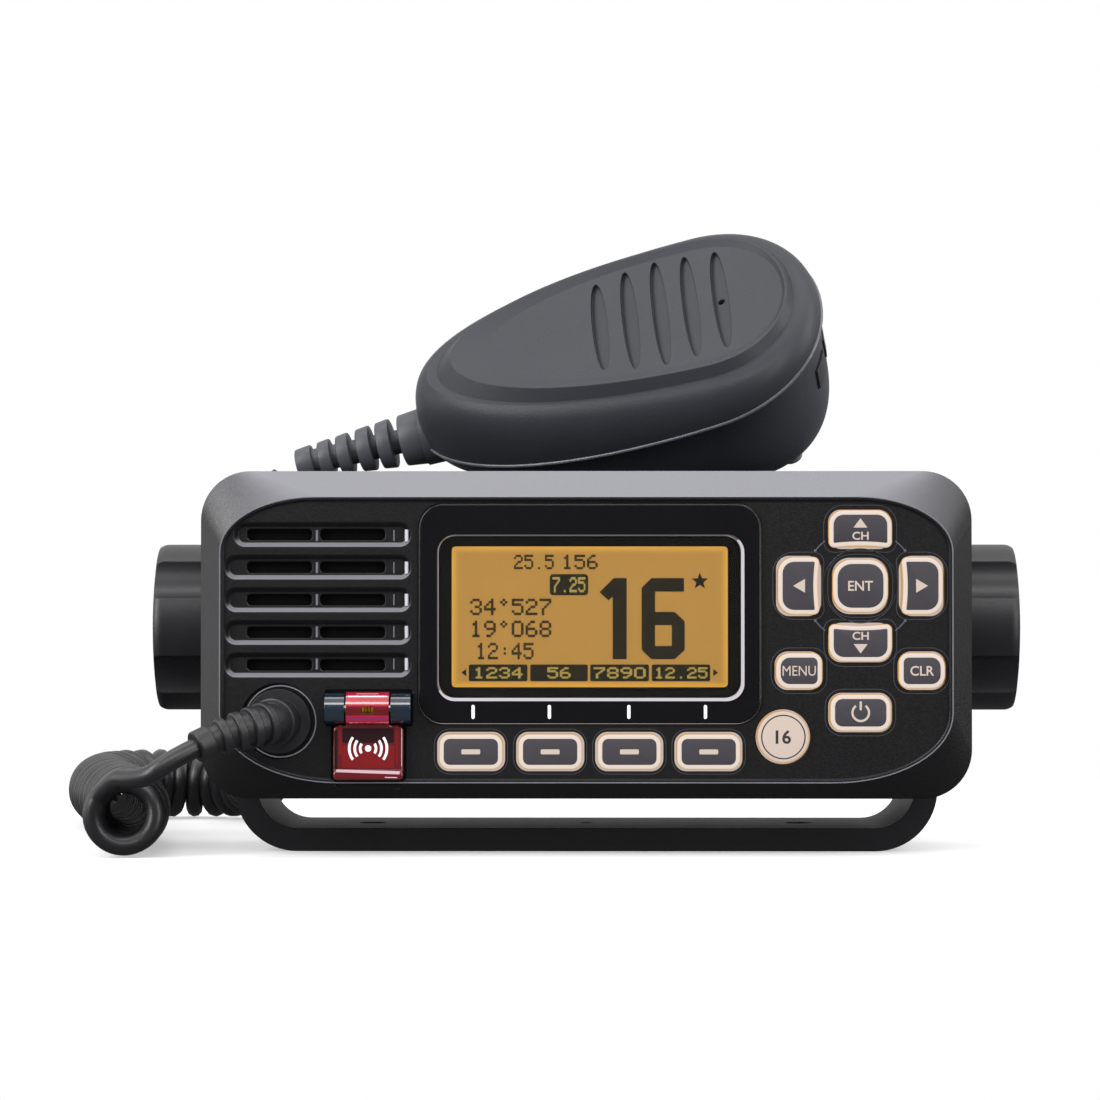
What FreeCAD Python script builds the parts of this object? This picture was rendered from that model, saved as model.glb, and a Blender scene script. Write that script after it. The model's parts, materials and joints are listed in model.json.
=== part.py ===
import FreeCAD, Part
import math
import os
import re
import Sketcher
from FreeCAD import Placement, Rotation, Vector

# A compact fixed-mount marine VHF radio in its U bracket, with its fist microphone on top.
# Millimetres, X to the right, Y to the back, Z up. The origin is the centre of the bracket
# base's underside. The tilt axis runs along X, straight above the origin.

SIZES = [
    # bracket
    ("bracket_wall", 4.8, "thickness of arms and base"),
    ("bracket_depth", 45, "front to back"),
    ("bracket_outer_corner", 13, "outside radius of the lower corners"),
    ("bracket_inner_corner", 8.2, "inside radius of the lower corners"),
    ("arm_top_radius", 17, "rounding of the arm's top, about the tilt axis"),
    ("mount_spacing", 91, "between the two mounting holes"),
    ("mount_hole", 5.9, "diameter of the mounting holes"),
    ("centre_hole", 2.6, "diameter of the pilot hole in the middle"),
    # clamp knobs
    ("bolt_size", 5, "diameter of the clamp bolt's shank"),
    ("bolt_running_gap", 0.05, "radial gap of the bolt in arm and case"),
    ("bolt_reach", 9, "how far the bolt goes into the case"),
    ("washer_size", 22, "diameter of the friction washer"),
    ("washer_thickness", 0.8, "friction washer"),
    ("washer_gap", 0.2, "between the friction washer and the case"),
    ("knob_size", 35.3, "diameter over the lobes"),
    ("knob_length", 17.4, "from collar to outer face"),
    ("knob_collar_size", 19, "diameter of the collar beside the arm"),
    ("knob_collar_length", 1.3, "collar beside the arm"),
    ("knob_arm_gap", 0.3, "between collar and arm"),
    ("knob_corner", 3, "rounding of the outer rim"),
    ("knob_dome", 1.3, "how far the outer face is domed"),
    ("scoop_radius", 7, "radius of the finger scoops"),
    ("scoop_place", 22, "scoop centres from the knob's axis"),
    # front panel
    ("panel_corner", 10, "corner radius of the outline"),
    ("panel_depth", 20, "front to back"),
    ("panel_wall", 2.6, "wall of the moulding"),
    ("panel_drop", 1.5, "panel centre below the tilt axis"),
    ("floor_gap", 11.85, "panel's lower edge above the mounting surface"),
    ("front_reach", 47.5, "tilt axis to the panel's front plane"),
    ("bevel_depth", 4, "front to back depth of the sloped rim"),
    ("rim_top", 5.4, "width of the sloped rim along the top"),
    ("rim_bottom", 3.4, "width of the sloped rim along the bottom"),
    ("rim_side", 4.2, "width of the sloped rim at the sides"),
    ("face_corner_width", 19, "upper corners of the face, width of the ellipse"),
    ("face_corner_height", 11, "upper corners of the face, height of the ellipse"),
    ("face_lower_width", 24, "lower corners of the face, width of the ellipse"),
    ("face_lower_height", 14, "lower corners of the face, height of the ellipse"),
    ("rim_wall", 0.9, "room behind the face, inside the face's outline"),
    ("face_recess", 0.6, "face sunk below the rim's inner ridge"),
    ("face_ridge", 0.6, "width of the ridge round the face"),
    # speaker grille
    ("slot_edge", 5.15, "from the panel's left edge to the slots"),
    ("slot_length", 37.7, "length of a slot"),
    ("slot_web", 1.65, "bar between two slots"),
    ("slot_top_gap", 5.075, "from the face's upper edge to the first slot"),
    ("slot_hinge_gap", 2.925, "from the last slot to the cover's hinge barrel"),
    ("slot_recess", 1.2, "depth of the outer recess"),
    ("slot_slope", 35, "degrees, the recess's sides from upright"),
    ("slot_opening", 2.3, "height of the through slot"),
    ("slot_inset", 4.4, "from the recess's left end to the through slot"),
    ("slot_through", 13.2, "length of one through slot"),
    ("slot_bar", 1.6, "bar between two through slots"),
    ("speaker_size", 36, "diameter of the loudspeaker"),
    # display
    ("bezel_width", 69.1, "outside width of the display bezel"),
    ("bezel_slot_gap", 1.6, "from the slots to the bezel"),
    ("bezel_pad_gap", 3.4, "from the bezel to the left key"),
    ("bezel_top_gap", 1.35, "from the face's upper edge to the bezel"),
    ("bezel_key_gap", 2, "from the bezel to the keys under it"),
    ("window_side", 3.8, "bezel beside its window"),
    ("window_above", 6.3, "bezel above its window"),
    ("window_below", 5, "bezel below its window"),
    ("screen_side", 2.7, "dark border beside the lit screen"),
    ("screen_border", 2.2, "dark border above and below the lit screen"),
    ("bezel_corner", 5, "corner radius of the display bezel"),
    ("window_corner", 3.5, "corner radius of the window"),
    ("fit_gap", 0.15, "gap round a piece that is set into another"),
    # keys
    ("key_gap", 0.3, "gap round each key"),
    ("key_travel", 0.8, "how far a key is pressed"),
    ("key_proud", 0.9, "key fronts ahead of the face"),
    ("key_rounding", 0.7, "rounding of the key fronts"),
    ("key_flange", 0.65, "rim of the key behind the face"),
    ("flange_thickness", 0.9, "thickness of that rim"),
    ("seat_gap", 0.3, "gap between a key's rim and what stops it"),
    ("pad_edge", 22.85, "middle of the direction pad from the panel's right edge"),
    ("pad_top_gap", 2.8, "from the face's upper edge to the up key"),
    ("key_hollow", 0.8, "depth of the hollow side of the direction keys"),
    ("key_hollow_radius", 20, "radius of that side"),
    ("pad_gap_across", 2.7, "between the enter key and the keys beside it"),
    ("pad_gap_up", 2.35, "between the enter key and the keys above and below it"),
    ("wide_key_width", 12.4, "up, down and power keys"),
    ("wide_key_height", 7.4, "up, down and power keys"),
    ("tall_key_width", 8.6, "left and right keys"),
    ("tall_key_height", 11.6, "left and right keys"),
    ("enter_size", 10.8, "enter key"),
    ("enter_corner", 3.3, "corner radius of the enter key"),
    ("small_key_width", 9.2, "menu and clear keys"),
    ("small_key_height", 7.2, "menu and clear keys"),
    ("small_key_drop", 17.15, "menu and clear keys below the middle"),
    ("power_key_drop", 25.6, "power key below the middle"),
    ("key_corner", 2.4, "corner radius of most keys"),
    ("round_key_size", 10.5, "diameter of the round key"),
    ("round_key_offset", 15.6, "round key left of the direction pad's middle"),
    ("round_key_drop", 30.5, "round key below the direction pad's middle"),
    ("round_key_edge", 4, "from the round key to the face's lower edge"),
    ("soft_key_width", 13.2, "keys under the display"),
    ("soft_key_height", 7.4, "keys under the display"),
    ("soft_key_corner", 2.2, "keys under the display"),
    ("soft_key_space", 2.8, "between two keys under the display"),
    ("soft_key_edge", 2.55, "from the keys under the display to the face's lower edge"),
    ("mat_thickness", 1.2, "silicone sheet behind the keys"),
    ("board_thickness", 1.6, "circuit boards"),
    ("board_gap", 0.3, "between boards and their neighbours"),
    # distress key and cover
    ("distress_offset", 8.55, "distress group's middle left of the slots' right end"),
    ("hinge_barrel", 6.6, "diameter of the cover's hinge barrel"),
    ("hinge_length", 8.7, "length of the barrel"),
    ("hinge_cap_width", 4, "each fixed hinge cap"),
    ("hinge_cap_height", 6, "each fixed hinge cap"),
    ("hinge_clearance", 0.35, "flap's shoulders below the hinge caps"),
    ("hinge_out", 1.8, "hinge axis ahead of the front plane"),
    ("hinge_pin_size", 1.6, "hinge pin"),
    ("cover_width", 14.2, "flap"),
    ("cover_edge", 4.05, "flap's lower edge above the panel's lower edge"),
    ("cover_length", 14.4, "from the hinge axis to the flap's lower edge"),
    ("cover_thickness", 1.5, "flap"),
    ("cover_lip", 2, "thicker lower edge of the flap"),
    ("distress_key_width", 9.6, "distress key"),
    ("distress_key_height", 7.4, "distress key"),
    ("distress_key_up", 5.6, "distress key's middle above the flap's lower edge"),
    ("cover_recess", 1.3, "recess of the panel under the flap"),
    ("cover_back", 0.2, "back of the flap ahead of the face"),
    ("notch_depth", 2.2, "finger notch under the flap"),
    # cord outlet
    ("outlet_edge", 16.05, "cord outlet from the panel's left edge"),
    ("outlet_up", 15.75, "cord outlet above the panel's lower edge"),
    ("outlet_recess", 15.4, "diameter of the recess round the outlet"),
    ("outlet_recess_depth", 1.1, "depth of that recess"),
    ("boot_disc", 13, "diameter of the boot's foot"),
    ("boot_foot", 1.4, "thickness of the boot's foot"),
    ("boot_neck", 9, "diameter of the boot in the wall"),
    ("boot_tip", 6.6, "diameter of the boot's end"),
    ("boot_rib", 0.9, "how far the boot's ribs stand out"),
    ("boot_reach_left", 15.4, "boot's end left of the outlet"),
    ("boot_reach_out", 12.5, "boot's end ahead of the front plane"),
    ("boot_reach_down", 4.9, "boot's end below the outlet"),
    ("cord_size", 4, "diameter of the cord"),
    ("coil_size", 16.8, "outside diameter of the curly part"),
    # case
    ("case_side_step", 10.95, "case narrower than the panel on each side"),
    ("case_top_step", 1.65, "case top below the panel's top"),
    ("case_bottom_step", 4.15, "case underside above the panel's lower edge"),
    ("case_corner", 6, "edge radius of the case"),
    ("case_wall", 3, "side walls of the case"),
    ("case_reach", 54.5, "tilt axis to the root of the fins"),
    ("fin_depth", 8, "cooling fins at the back"),
    ("fin_thickness", 1.8, "cooling fins"),
    ("fin_pitch", 6.4, "fin to fin"),
    ("flange_plate", 3, "front plate of the case"),
    ("gasket_thickness", 1.2, "sealing ring between panel and case"),
    ("gasket_width", 2, "sealing ring between panel and case"),
    ("screw_size", 3, "screws of the case and the boards"),
    ("screw_head", 5, "diameter of their heads"),
    ("screw_edge", 4.6, "case screws from the flange's edges"),
    ("pivot_boss", 20, "diameter of the boss at the tilt axis"),
    ("board_edge", 9, "main board inside the case walls"),
    ("shield_edge", 11.3, "shield from the board's left end"),
    ("shield_length", 52, "shield over the radio circuits"),
    ("module_edge", 7.3, "power module from the board's right end"),
    ("module_length", 30, "power module"),
    # back of the case
    ("socket_across", 44, "antenna socket left of the centre line"),
    ("socket_height", 60, "antenna socket above the mounting surface"),
    ("socket_thread", 15.88, "outside diameter of the antenna socket"),
    ("socket_length", 14, "antenna socket behind the case"),
    ("socket_plate", 19, "square plate of the antenna socket"),
    ("gland_size", 11, "cable glands"),
    ("gland_length", 9, "cable glands behind the case"),
    # microphone, in its own frame: x along it to its top end, z out of its face
    ("mic_x", 16.1, "middle of the microphone's grille"),
    ("mic_y", 11.2, "middle of the microphone's grille"),
    ("mic_rest", 38.05, "middle of the microphone's grille above the case"),
    ("mic_yaw", -7.1, "degrees"),
    ("mic_pitch", -12.4, "degrees"),
    ("mic_roll", 46.6, "degrees"),
    ("mic_middle", 8.5, "widest section, along the microphone"),
    ("mic_top", 25.6, "widest section to the top end"),
    ("mic_tail", 67, "widest section to the cord end"),
    ("mic_half", 27.8, "half of the width"),
    ("mic_face", 11.2, "face above the seam at the middle"),
    ("mic_seam_slope", 0.12, "the seam's slope against the face"),
    ("mic_back", 34, "flat back behind the face, under the middle of the grille"),
    ("mic_back_slope", 0.15, "the back's slope, deeper towards the top end"),
    ("mic_side_taper", 1.6, "how far the sides draw in by the end of the steep part"),
    ("mic_side_depth", 8, "the steep part of the sides, down from the seam"),
    ("mic_edge_inset", 2.6, "how far the sides draw in by the back's rounded edge"),
    ("mic_edge_rise", 7, "the rounded edge's start above the flat back"),
    ("mic_back_inset", 8.6, "how far the flat back lies inside the seam's outline"),
    ("mic_wall", 2.2, "wall of the shells"),
    ("mic_shoulder", 5.2, "width of the rounded shoulder"),
    ("mic_band", 1.8, "width of the bevelled band inside the shoulder"),
    ("mic_band_tail", 4.8, "the band's width at the cord end"),
    ("mic_ridge", 0.6, "the band's top edge above the slotted face"),
    ("mic_dish", 2.2, "width of the slope from the ridge down to the slotted face"),
    ("mic_dish_tail", 6.8, "the same slope's width at the cord end"),
    ("mic_slot_length", 34, "slots in the face"),
    ("mic_slot_width", 3.5, "slots in the face"),
    ("mic_slot_pitch", 6.74, "slot to slot"),
    ("mic_slot_depth", 1.3, "slots in the face"),
    ("mic_slot_shallow", 0.5, "slots in the face, along the edge nearest the top end"),
    ("seam_gap", 0.7, "sealing ring between the shells"),
    ("ptt_place", 12, "middle of the talk button along the microphone"),
    ("ptt_length", 34, "talk button"),
    ("ptt_width", 11, "talk button"),
    ("ptt_drop", 19, "middle of the talk button below the face"),
    ("ptt_proud", 1.2, "talk button out of the side"),
    ("ptt_thickness", 3, "talk button"),
    ("ptt_travel", 1.6, "talk button"),
    ("mic_key_width", 6.4, "keys at the top end"),
    ("mic_key_height", 5, "keys at the top end"),
    ("mic_key_pitch", 9.4, "keys at the top end, key to key"),
    ("mic_key_drop", 18, "keys at the top end, below the face"),
    ("mic_key_proud", 0.4, "keys at the top end"),
    ("stud_size", 13, "hanger stud's head"),
    ("stud_neck", 6.5, "hanger stud's neck"),
    ("stud_height", 6, "hanger stud"),
    ("element_size", 9.7, "microphone capsule"),
    ("mic_screw_across", 14, "screws in the back, from the middle line"),
    ("mic_boot_length", 25, "boot at the cord end"),
    ("mic_boot_size", 13, "boot at the cord end"),
    ("mic_boot_drop", 19.6, "boot axis below the face"),
    ("tail_gap", 0.5, "between the boot's end and the cord's plain tail"),
]

LAYOUT = [
    ("pad_step_across", "(tall_key_width + enter_size) / 2 + pad_gap_across", "left and right keys from the pad's middle"),
    ("pad_step_up", "(wide_key_height + enter_size) / 2 + pad_gap_up", "up and down keys from the pad's middle"),
    ("panel_width", "slot_edge + slot_length + bezel_slot_gap + bezel_width + bezel_pad_gap + tall_key_width / 2"
     " + pad_step_across + pad_edge", "the front panel holds these side by side"),
    ("panel_height", "rim_top + pad_top_gap + wide_key_height / 2 + pad_step_up + round_key_drop + round_key_size / 2"
     " + round_key_edge + rim_bottom", "and these one above the other"),
    ("pivot_height", "floor_gap + panel_height / 2 + panel_drop", "tilt axis above the mounting surface"),
    ("case_width", "panel_width - 2 * case_side_step", "die-cast case"),
    ("case_height", "panel_height - case_top_step - case_bottom_step", "die-cast case"),
    ("case_bottom", "floor_gap + case_bottom_step", "underside of the case above the mounting surface"),
    ("bracket_width", "case_width + 2 * (washer_gap + washer_thickness + bracket_wall)", "outside width of the U"),
    ("bezel_height", "panel_height - rim_top - bezel_top_gap - bezel_key_gap - soft_key_height - soft_key_edge"
     " - rim_bottom", "outside height of the display bezel"),
    ("display_middle", "slot_edge + slot_length + bezel_slot_gap + bezel_width / 2 - panel_width / 2",
     "display centre right of the centre line"),
    ("display_height", "panel_height / 2 - rim_top - bezel_top_gap - bezel_height / 2",
     "display centre above the panel's middle"),
    ("window_width", "bezel_width - 2 * window_side", "window of the bezel"),
    ("window_height", "bezel_height - window_above - window_below", "window of the bezel"),
    ("window_drop", "(window_above - window_below) / 2", "window centre below the bezel's centre"),
    ("screen_width", "window_width - 2 * screen_side", "lit width of the display"),
    ("screen_height", "window_height - 2 * screen_border", "lit height of the display"),
    ("cover_bottom", "panel_height / 2 - cover_edge", "flap's lower edge below the panel's middle"),
    ("hinge_drop", "cover_bottom - cover_length", "cover hinge below the panel's middle"),
    ("distress_key_drop", "cover_bottom - distress_key_up", "distress key below the panel's middle"),
    ("slot_left", "panel_width / 2 - slot_edge", "left end of the slots from the centre line"),
    ("slot_field", "panel_height / 2 - rim_top - slot_top_gap + hinge_drop - hinge_barrel / 2 - slot_hinge_gap",
     "height of all the slots"),
    ("slot_height", "(slot_field - 4 * slot_web) / 5", "height of a slot's outer recess"),
    ("slot_pitch", "slot_height + slot_web", "slot to slot"),
    ("slot_middle", "panel_height / 2 - rim_top - slot_top_gap - slot_field / 2", "middle slot above the panel's middle"),
    ("distress_across", "slot_left - slot_length + distress_offset", "distress group left of the centre line"),
    ("outlet_across", "panel_width / 2 - outlet_edge", "cord outlet left of the centre line"),
    ("outlet_drop", "panel_height / 2 - outlet_up", "cord outlet below the panel's middle"),
    ("pad_across", "panel_width / 2 - pad_edge", "middle of the direction pad, right of the centre line"),
    ("pad_up", "panel_height / 2 - rim_top - pad_top_gap - wide_key_height / 2 - pad_step_up",
     "middle of the direction pad, above the panel's middle"),
    ("soft_key_pitch", "soft_key_width + soft_key_space", "keys under the display, key to key"),
    ("soft_key_drop", "panel_height / 2 - rim_bottom - soft_key_edge - soft_key_height / 2",
     "keys under the display, below the panel's middle"),
    ("mic_z", "case_bottom + case_height + mic_rest", "middle of the microphone's grille"),
]
SHEET_OF = {alias: "sizes" for alias, _, _ in SIZES} | {alias: "layout" for alias, _, _ in LAYOUT}


def cells(text):
    """The same formula with every name pointing at its cell."""
    return re.sub(r"\b([a-z]+(?:_[a-z]+)+)\b", lambda name: f"{SHEET_OF[name[1]]}.{name[1]}", text)


document = FreeCAD.newDocument("MarineRadio")
sheet = document.addObject("Spreadsheet::Sheet", "sizes")
for row, (alias, size, meaning) in enumerate(SIZES, 1):
    sheet.set(f"A{row}", meaning)
    sheet.set(f"B{row}", str(size))
    sheet.setAlias(f"B{row}", alias)
layout = document.addObject("Spreadsheet::Sheet", "layout")
for row, (alias, formula, meaning) in enumerate(LAYOUT, 1):
    layout.set(f"A{row}", meaning)
    layout.set(f"B{row}", "=" + cells(formula).replace("layout.", ""))
    layout.setAlias(f"B{row}", alias)
workings = document.addObject("Spreadsheet::Sheet", "workings")
document.recompute()

NODES = {}
FRONT = "0 - front_reach"
PANEL_UP = "pivot_height - panel_drop"
TO_BACK = Rotation(Vector(1, 0, 0), -90)
TO_RIGHT = Rotation(Vector(0, 1, 0), 90)
TO_LEFT = Rotation(Vector(0, 1, 0), -90)
QUARTER = math.sqrt(0.5)


# ---------------------------------------------------------------- small helpers

def mm(alias):
    """A size or a worked-out measure as a number."""
    return float((sheet if SHEET_OF[alias] == "sizes" else layout).get(alias))


def number(formula):
    """What a formula of sizes comes to."""
    workings.set("A1", "=" + cells(formula))
    workings.recompute()
    return float(workings.get("A1"))


def bind(thing, **formulas):
    """Ties properties to formulas; a double underscore stands for a dot."""
    for name, formula in formulas.items():
        thing.setExpression(name.replace("__", "."), cells(formula))
    return thing


def place(thing, x="0", y="0", z="0", turn=None):
    """Puts a thing at a place given by formulas."""
    if turn is not None:
        thing.Placement = Placement(Vector(), turn)
    return bind(thing, Placement__Base__x=x, Placement__Base__y=y, Placement__Base__z=z)


def node(name, thing):
    """Makes a thing one of the sub-parts."""
    thing.Label = name
    NODES[name] = thing
    return thing


def box(name, x, y, z, length, width, height):
    """A block from its low corner."""
    block = document.addObject("Part::Box", name)
    bind(block, Length=length, Width=width, Height=height)
    return place(block, x, y, z)


def cylinder(name, diameter, length, x="0", y="0", z="0", turn=None):
    """A round bar; without a turn it points up."""
    bar = document.addObject("Part::Cylinder", name)
    bind(bar, Radius=f"({diameter}) / 2", Height=length)
    return place(bar, x, y, z, turn)


def fuse(name, *pieces):
    joined = document.addObject("Part::MultiFuse", name)
    joined.Shapes = list(pieces)
    return joined


def cut(name, base, *tools):
    """A piece less one tool, or less several tools at once."""
    tool = tools[0] if len(tools) == 1 else fuse(name + "_tools", *tools)
    less = document.addObject("Part::Cut", name)
    less.Base = base
    less.Tool = tool
    return less


def common(name, first, second):
    shared = document.addObject("Part::Common", name)
    shared.Base = first
    shared.Tool = second
    return shared


def group(name, *pieces):
    """Separate solids that share one sub-part."""
    several = document.addObject("Part::Compound", name)
    several.Links = list(pieces)
    return several


def feature(name, shape, placement=None):
    """A form that only Part's own functions make."""
    thing = document.addObject("Part::Feature", name)
    thing.Shape = shape
    if placement is not None:
        thing.Placement = placement
    return thing


def origin_plane(body, role):
    return [plane for plane in body.Origin.OriginFeatures if plane.Role == role][0]


def rounded_sketch(body, name, plane, width, height, corner, x, y, offset):
    """A constrained rectangle with round corners, centred on x, y of an origin plane."""
    sketch = body.newObject("Sketcher::SketchObject", name)
    sketch.AttachmentSupport = [(origin_plane(body, plane), "")]
    sketch.MapMode = "FlatFace"
    half_w, half_h, r = number(width) / 2, number(height) / 2, number(corner)
    left, right, low, high = -half_w, half_w, -half_h, half_h
    corners = [(right - r, low + r, -90), (right - r, high - r, 0), (left + r, high - r, 90), (left + r, low + r, 180)]
    sides = [((left + r, low), (right - r, low)), ((right, low + r), (right, high - r)),
             ((right - r, high), (left + r, high)), ((left, high - r), (left, low + r))]
    edges = []
    for (start, end), (cx, cy, turn) in zip(sides, corners):
        edges.append(sketch.addGeometry(Part.LineSegment(Vector(*start, 0), Vector(*end, 0))))
        circle = Part.Circle(Vector(cx, cy, 0), Vector(0, 0, 1), r)
        edges.append(sketch.addGeometry(Part.ArcOfCircle(circle, math.radians(turn), math.radians(turn + 90))))
    rule = Sketcher.Constraint
    rules = [rule("Tangent", edges[i], 2, edges[(i + 1) % 8], 1) for i in range(8)]
    rules += [rule("Horizontal", edges[0]), rule("Horizontal", edges[4])]
    rules += [rule("Vertical", edges[2]), rule("Vertical", edges[6])]
    rules += [rule("Equal", edges[1], edges[3]), rule("Equal", edges[1], edges[5])]
    rules += [rule("Symmetric", edges[1], 3, edges[5], 3, -1, 1)]
    sketch.addConstraint(rules)
    for label, constraint in (
            ("corner", rule("Radius", edges[1], r)),
            ("width", rule("DistanceX", edges[6], 1, edges[2], 1, 2 * half_w)),
            ("height", rule("DistanceY", edges[0], 1, edges[4], 1, 2 * half_h))):
        sketch.renameConstraint(sketch.addConstraint(constraint), label)
    return bind(sketch, Constraints__corner=corner, Constraints__width=width, Constraints__height=height,
                AttachmentOffset__Base__x=x, AttachmentOffset__Base__y=y, AttachmentOffset__Base__z=offset)


def rounded_block(name, x, z, width, height, corner, start, depth, rounding=None, slope=None):
    """A block with round corners that starts at a Y and runs back.

    Its front edge may be rounded, and its sides may draw in towards the back by an angle."""
    body = document.addObject("PartDesign::Body", name)
    sketch = rounded_sketch(body, name + "_outline", "XZ_Plane", width, height, corner, x, z, f"0 - ({start})")
    pad = body.newObject("PartDesign::Pad", name + "_pad")
    pad.Profile = sketch
    pad.Reversed = True
    bind(pad, Length=depth)
    if slope:
        bind(pad, TaperAngle=f"0 - {slope}")
    if rounding:
        document.recompute()
        faces = pad.Shape.Faces
        front = min(range(len(faces)), key=lambda i: faces[i].CenterOfMass.y)
        fillet = body.newObject("PartDesign::Fillet", name + "_rounding")
        fillet.Base = (pad, [f"Face{front + 1}"])
        bind(fillet, Radius=rounding)
        body.Tip = fillet
    return body


def conic(start, corner, end, fullness=QUARTER):
    """A quarter of an ellipse from start to end inside their corner; more fullness is squarer."""
    curve = Part.BSplineCurve()
    curve.buildFromPolesMultsKnots([start, corner, end], [3, 3], [0, 1], False, 2, [1, fullness, 1])
    return curve.toShape()


def smooth_tube(sections):
    """A solid through round sections given as (centre, direction, radius)."""
    rings = [Part.Wire(Part.makeCircle(radius, centre, direction)) for centre, direction, radius in sections]
    return Part.makeLoft(rings, True, False)


def bent_path(points):
    """Straight runs joined by tangent arcs, each as large as its two runs allow."""
    edges = []
    radii = []
    start = points[0]
    for before, corner, after in zip(points, points[1:], points[2:]):
        back = before - corner
        ahead = after - corner
        turn = math.pi - back.getAngle(ahead)
        reach = 0.45 * min(back.Length, ahead.Length)
        radii.append(reach / math.tan(turn / 2))
        enter = corner + back.normalize() * reach
        leave = corner + ahead.normalize() * reach
        inward = (back + ahead).normalize()
        to_centre = math.hypot(radii[-1], reach)
        middle = corner + inward * (to_centre - radii[-1])
        edges.append(Part.LineSegment(start, enter).toShape())
        edges.append(Part.Arc(enter, middle, leave).toShape())
        start = leave
    edges.append(Part.LineSegment(start, points[-1]).toShape())
    return Part.Wire(edges), radii


def tube(points, diameter):
    """A plain round tube along a bent path."""
    path, radii = bent_path(points)
    direction = points[1] - points[0]
    ring = Part.Wire(Part.makeCircle(diameter / 2, points[0], direction))
    solid = path.makePipeShell([ring], True, True)
    expected = math.pi * diameter ** 2 / 4 * path.Length
    print(f"tube {diameter} mm: length {path.Length:.1f}, radii {[round(r, 1) for r in radii]}, "
          f"volume {solid.Volume / expected:.4f} of section times length")
    return solid


# ---------------------------------------------------------------- bracket and knobs

def arm_profile():
    """Side view of the bracket: upright by the base, then tapering to a round top."""
    body = document.addObject("PartDesign::Body", "arm_profile")
    sketch = body.newObject("Sketcher::SketchObject", "arm_outline")
    sketch.AttachmentSupport = [(origin_plane(body, "YZ_Plane"), "")]
    sketch.MapMode = "FlatFace"
    half, foot, top, r = mm("bracket_depth") / 2, mm("bracket_outer_corner"), mm("pivot_height"), mm("arm_top_radius")
    spots = [(-half, 0), (half, 0), (half, foot), (r, top), (-r, top), (-half, foot)]
    lines = [(0, 1), (1, 2), (2, 3), (4, 5), (5, 0)]
    ids = [sketch.addGeometry(Part.LineSegment(Vector(*spots[a], 0), Vector(*spots[b], 0))) for a, b in lines]
    arc = sketch.addGeometry(Part.ArcOfCircle(Part.Circle(Vector(0, top, 0), Vector(0, 0, 1), r), 0, math.pi))
    base, right, right_taper, left_taper, left = ids
    rule = Sketcher.Constraint
    sketch.addConstraint([
        rule("Coincident", base, 2, right, 1), rule("Coincident", right, 2, right_taper, 1),
        rule("Tangent", right_taper, 2, arc, 1), rule("Tangent", arc, 2, left_taper, 1),
        rule("Coincident", left_taper, 2, left, 1), rule("Coincident", left, 2, base, 1),
        rule("Horizontal", base), rule("Vertical", right), rule("Vertical", left),
        rule("Symmetric", base, 1, base, 2, -1, 1), rule("Equal", right, left), rule("PointOnObject", arc, 3, -2)])
    for label, constraint in (("depth", rule("DistanceX", base, 1, base, 2, 2 * half)),
                              ("foot", rule("DistanceY", right, 1, right, 2, foot)),
                              ("pivot", rule("DistanceY", -1, 1, arc, 3, top)),
                              ("top", rule("Radius", arc, r))):
        sketch.renameConstraint(sketch.addConstraint(constraint), label)
    bind(sketch, Constraints__depth="bracket_depth", Constraints__foot="bracket_outer_corner",
         Constraints__pivot="pivot_height", Constraints__top="arm_top_radius")
    pad = body.newObject("PartDesign::Pad", "arm_profile_pad")
    pad.Profile = sketch
    pad.Midplane = True
    bind(pad, Length="bracket_width + 10")
    return body


def mounting_bracket():
    """A U of constant wall with round corners, trimmed to the side view, with its holes."""
    tall = "2 * (pivot_height + arm_top_radius)"
    outer = rounded_block("bracket_outer", "0", f"({tall}) / 2", "bracket_width", tall, "bracket_outer_corner",
                          "0 - bracket_depth / 2", "bracket_depth")
    inner = rounded_block("bracket_inner", "0", f"({tall}) / 2 + bracket_wall", "bracket_width - 2 * bracket_wall",
                          tall, "bracket_inner_corner", "0 - bracket_depth / 2 - 1", "bracket_depth + 2")
    bent = common("bracket_trimmed", cut("bracket_channel", outer, inner), arm_profile())
    holes = [cylinder(f"mount_hole_{side}", "mount_hole", "bracket_wall + 2", x=f"{sign} * mount_spacing / 2", z="0 - 1")
             for side, sign in (("left", "-1"), ("right", "1"))]
    holes.append(cylinder("pilot_hole", "centre_hole", "bracket_wall + 2", z="0 - 1"))
    holes.append(cylinder("bolt_bore", "bolt_size + 2 * bolt_running_gap", "bracket_width + 2",
                          x="0 - bracket_width / 2 - 1", z="pivot_height", turn=TO_RIGHT))
    node("mounting_bracket", cut("bracket_with_holes", bent, *holes))


def friction_washers():
    """A ring on the inside of each arm, round the clamp bolt."""
    rings = []
    for side, start in (("left", "bracket_wall - bracket_width / 2"),
                        ("right", "bracket_width / 2 - bracket_wall - washer_thickness")):
        ring = cylinder(f"washer_{side}", "washer_size", "washer_thickness", x=start, z="pivot_height", turn=TO_RIGHT)
        bore = cylinder(f"washer_bore_{side}", "bolt_size + 0.6", "washer_thickness + 2", x=f"{start} - 1",
                        z="pivot_height", turn=TO_RIGHT)
        rings.append(cut(f"friction_washer_{side}", ring, bore))
    node("friction_washers", group("friction_washer_pair", *rings))


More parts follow.
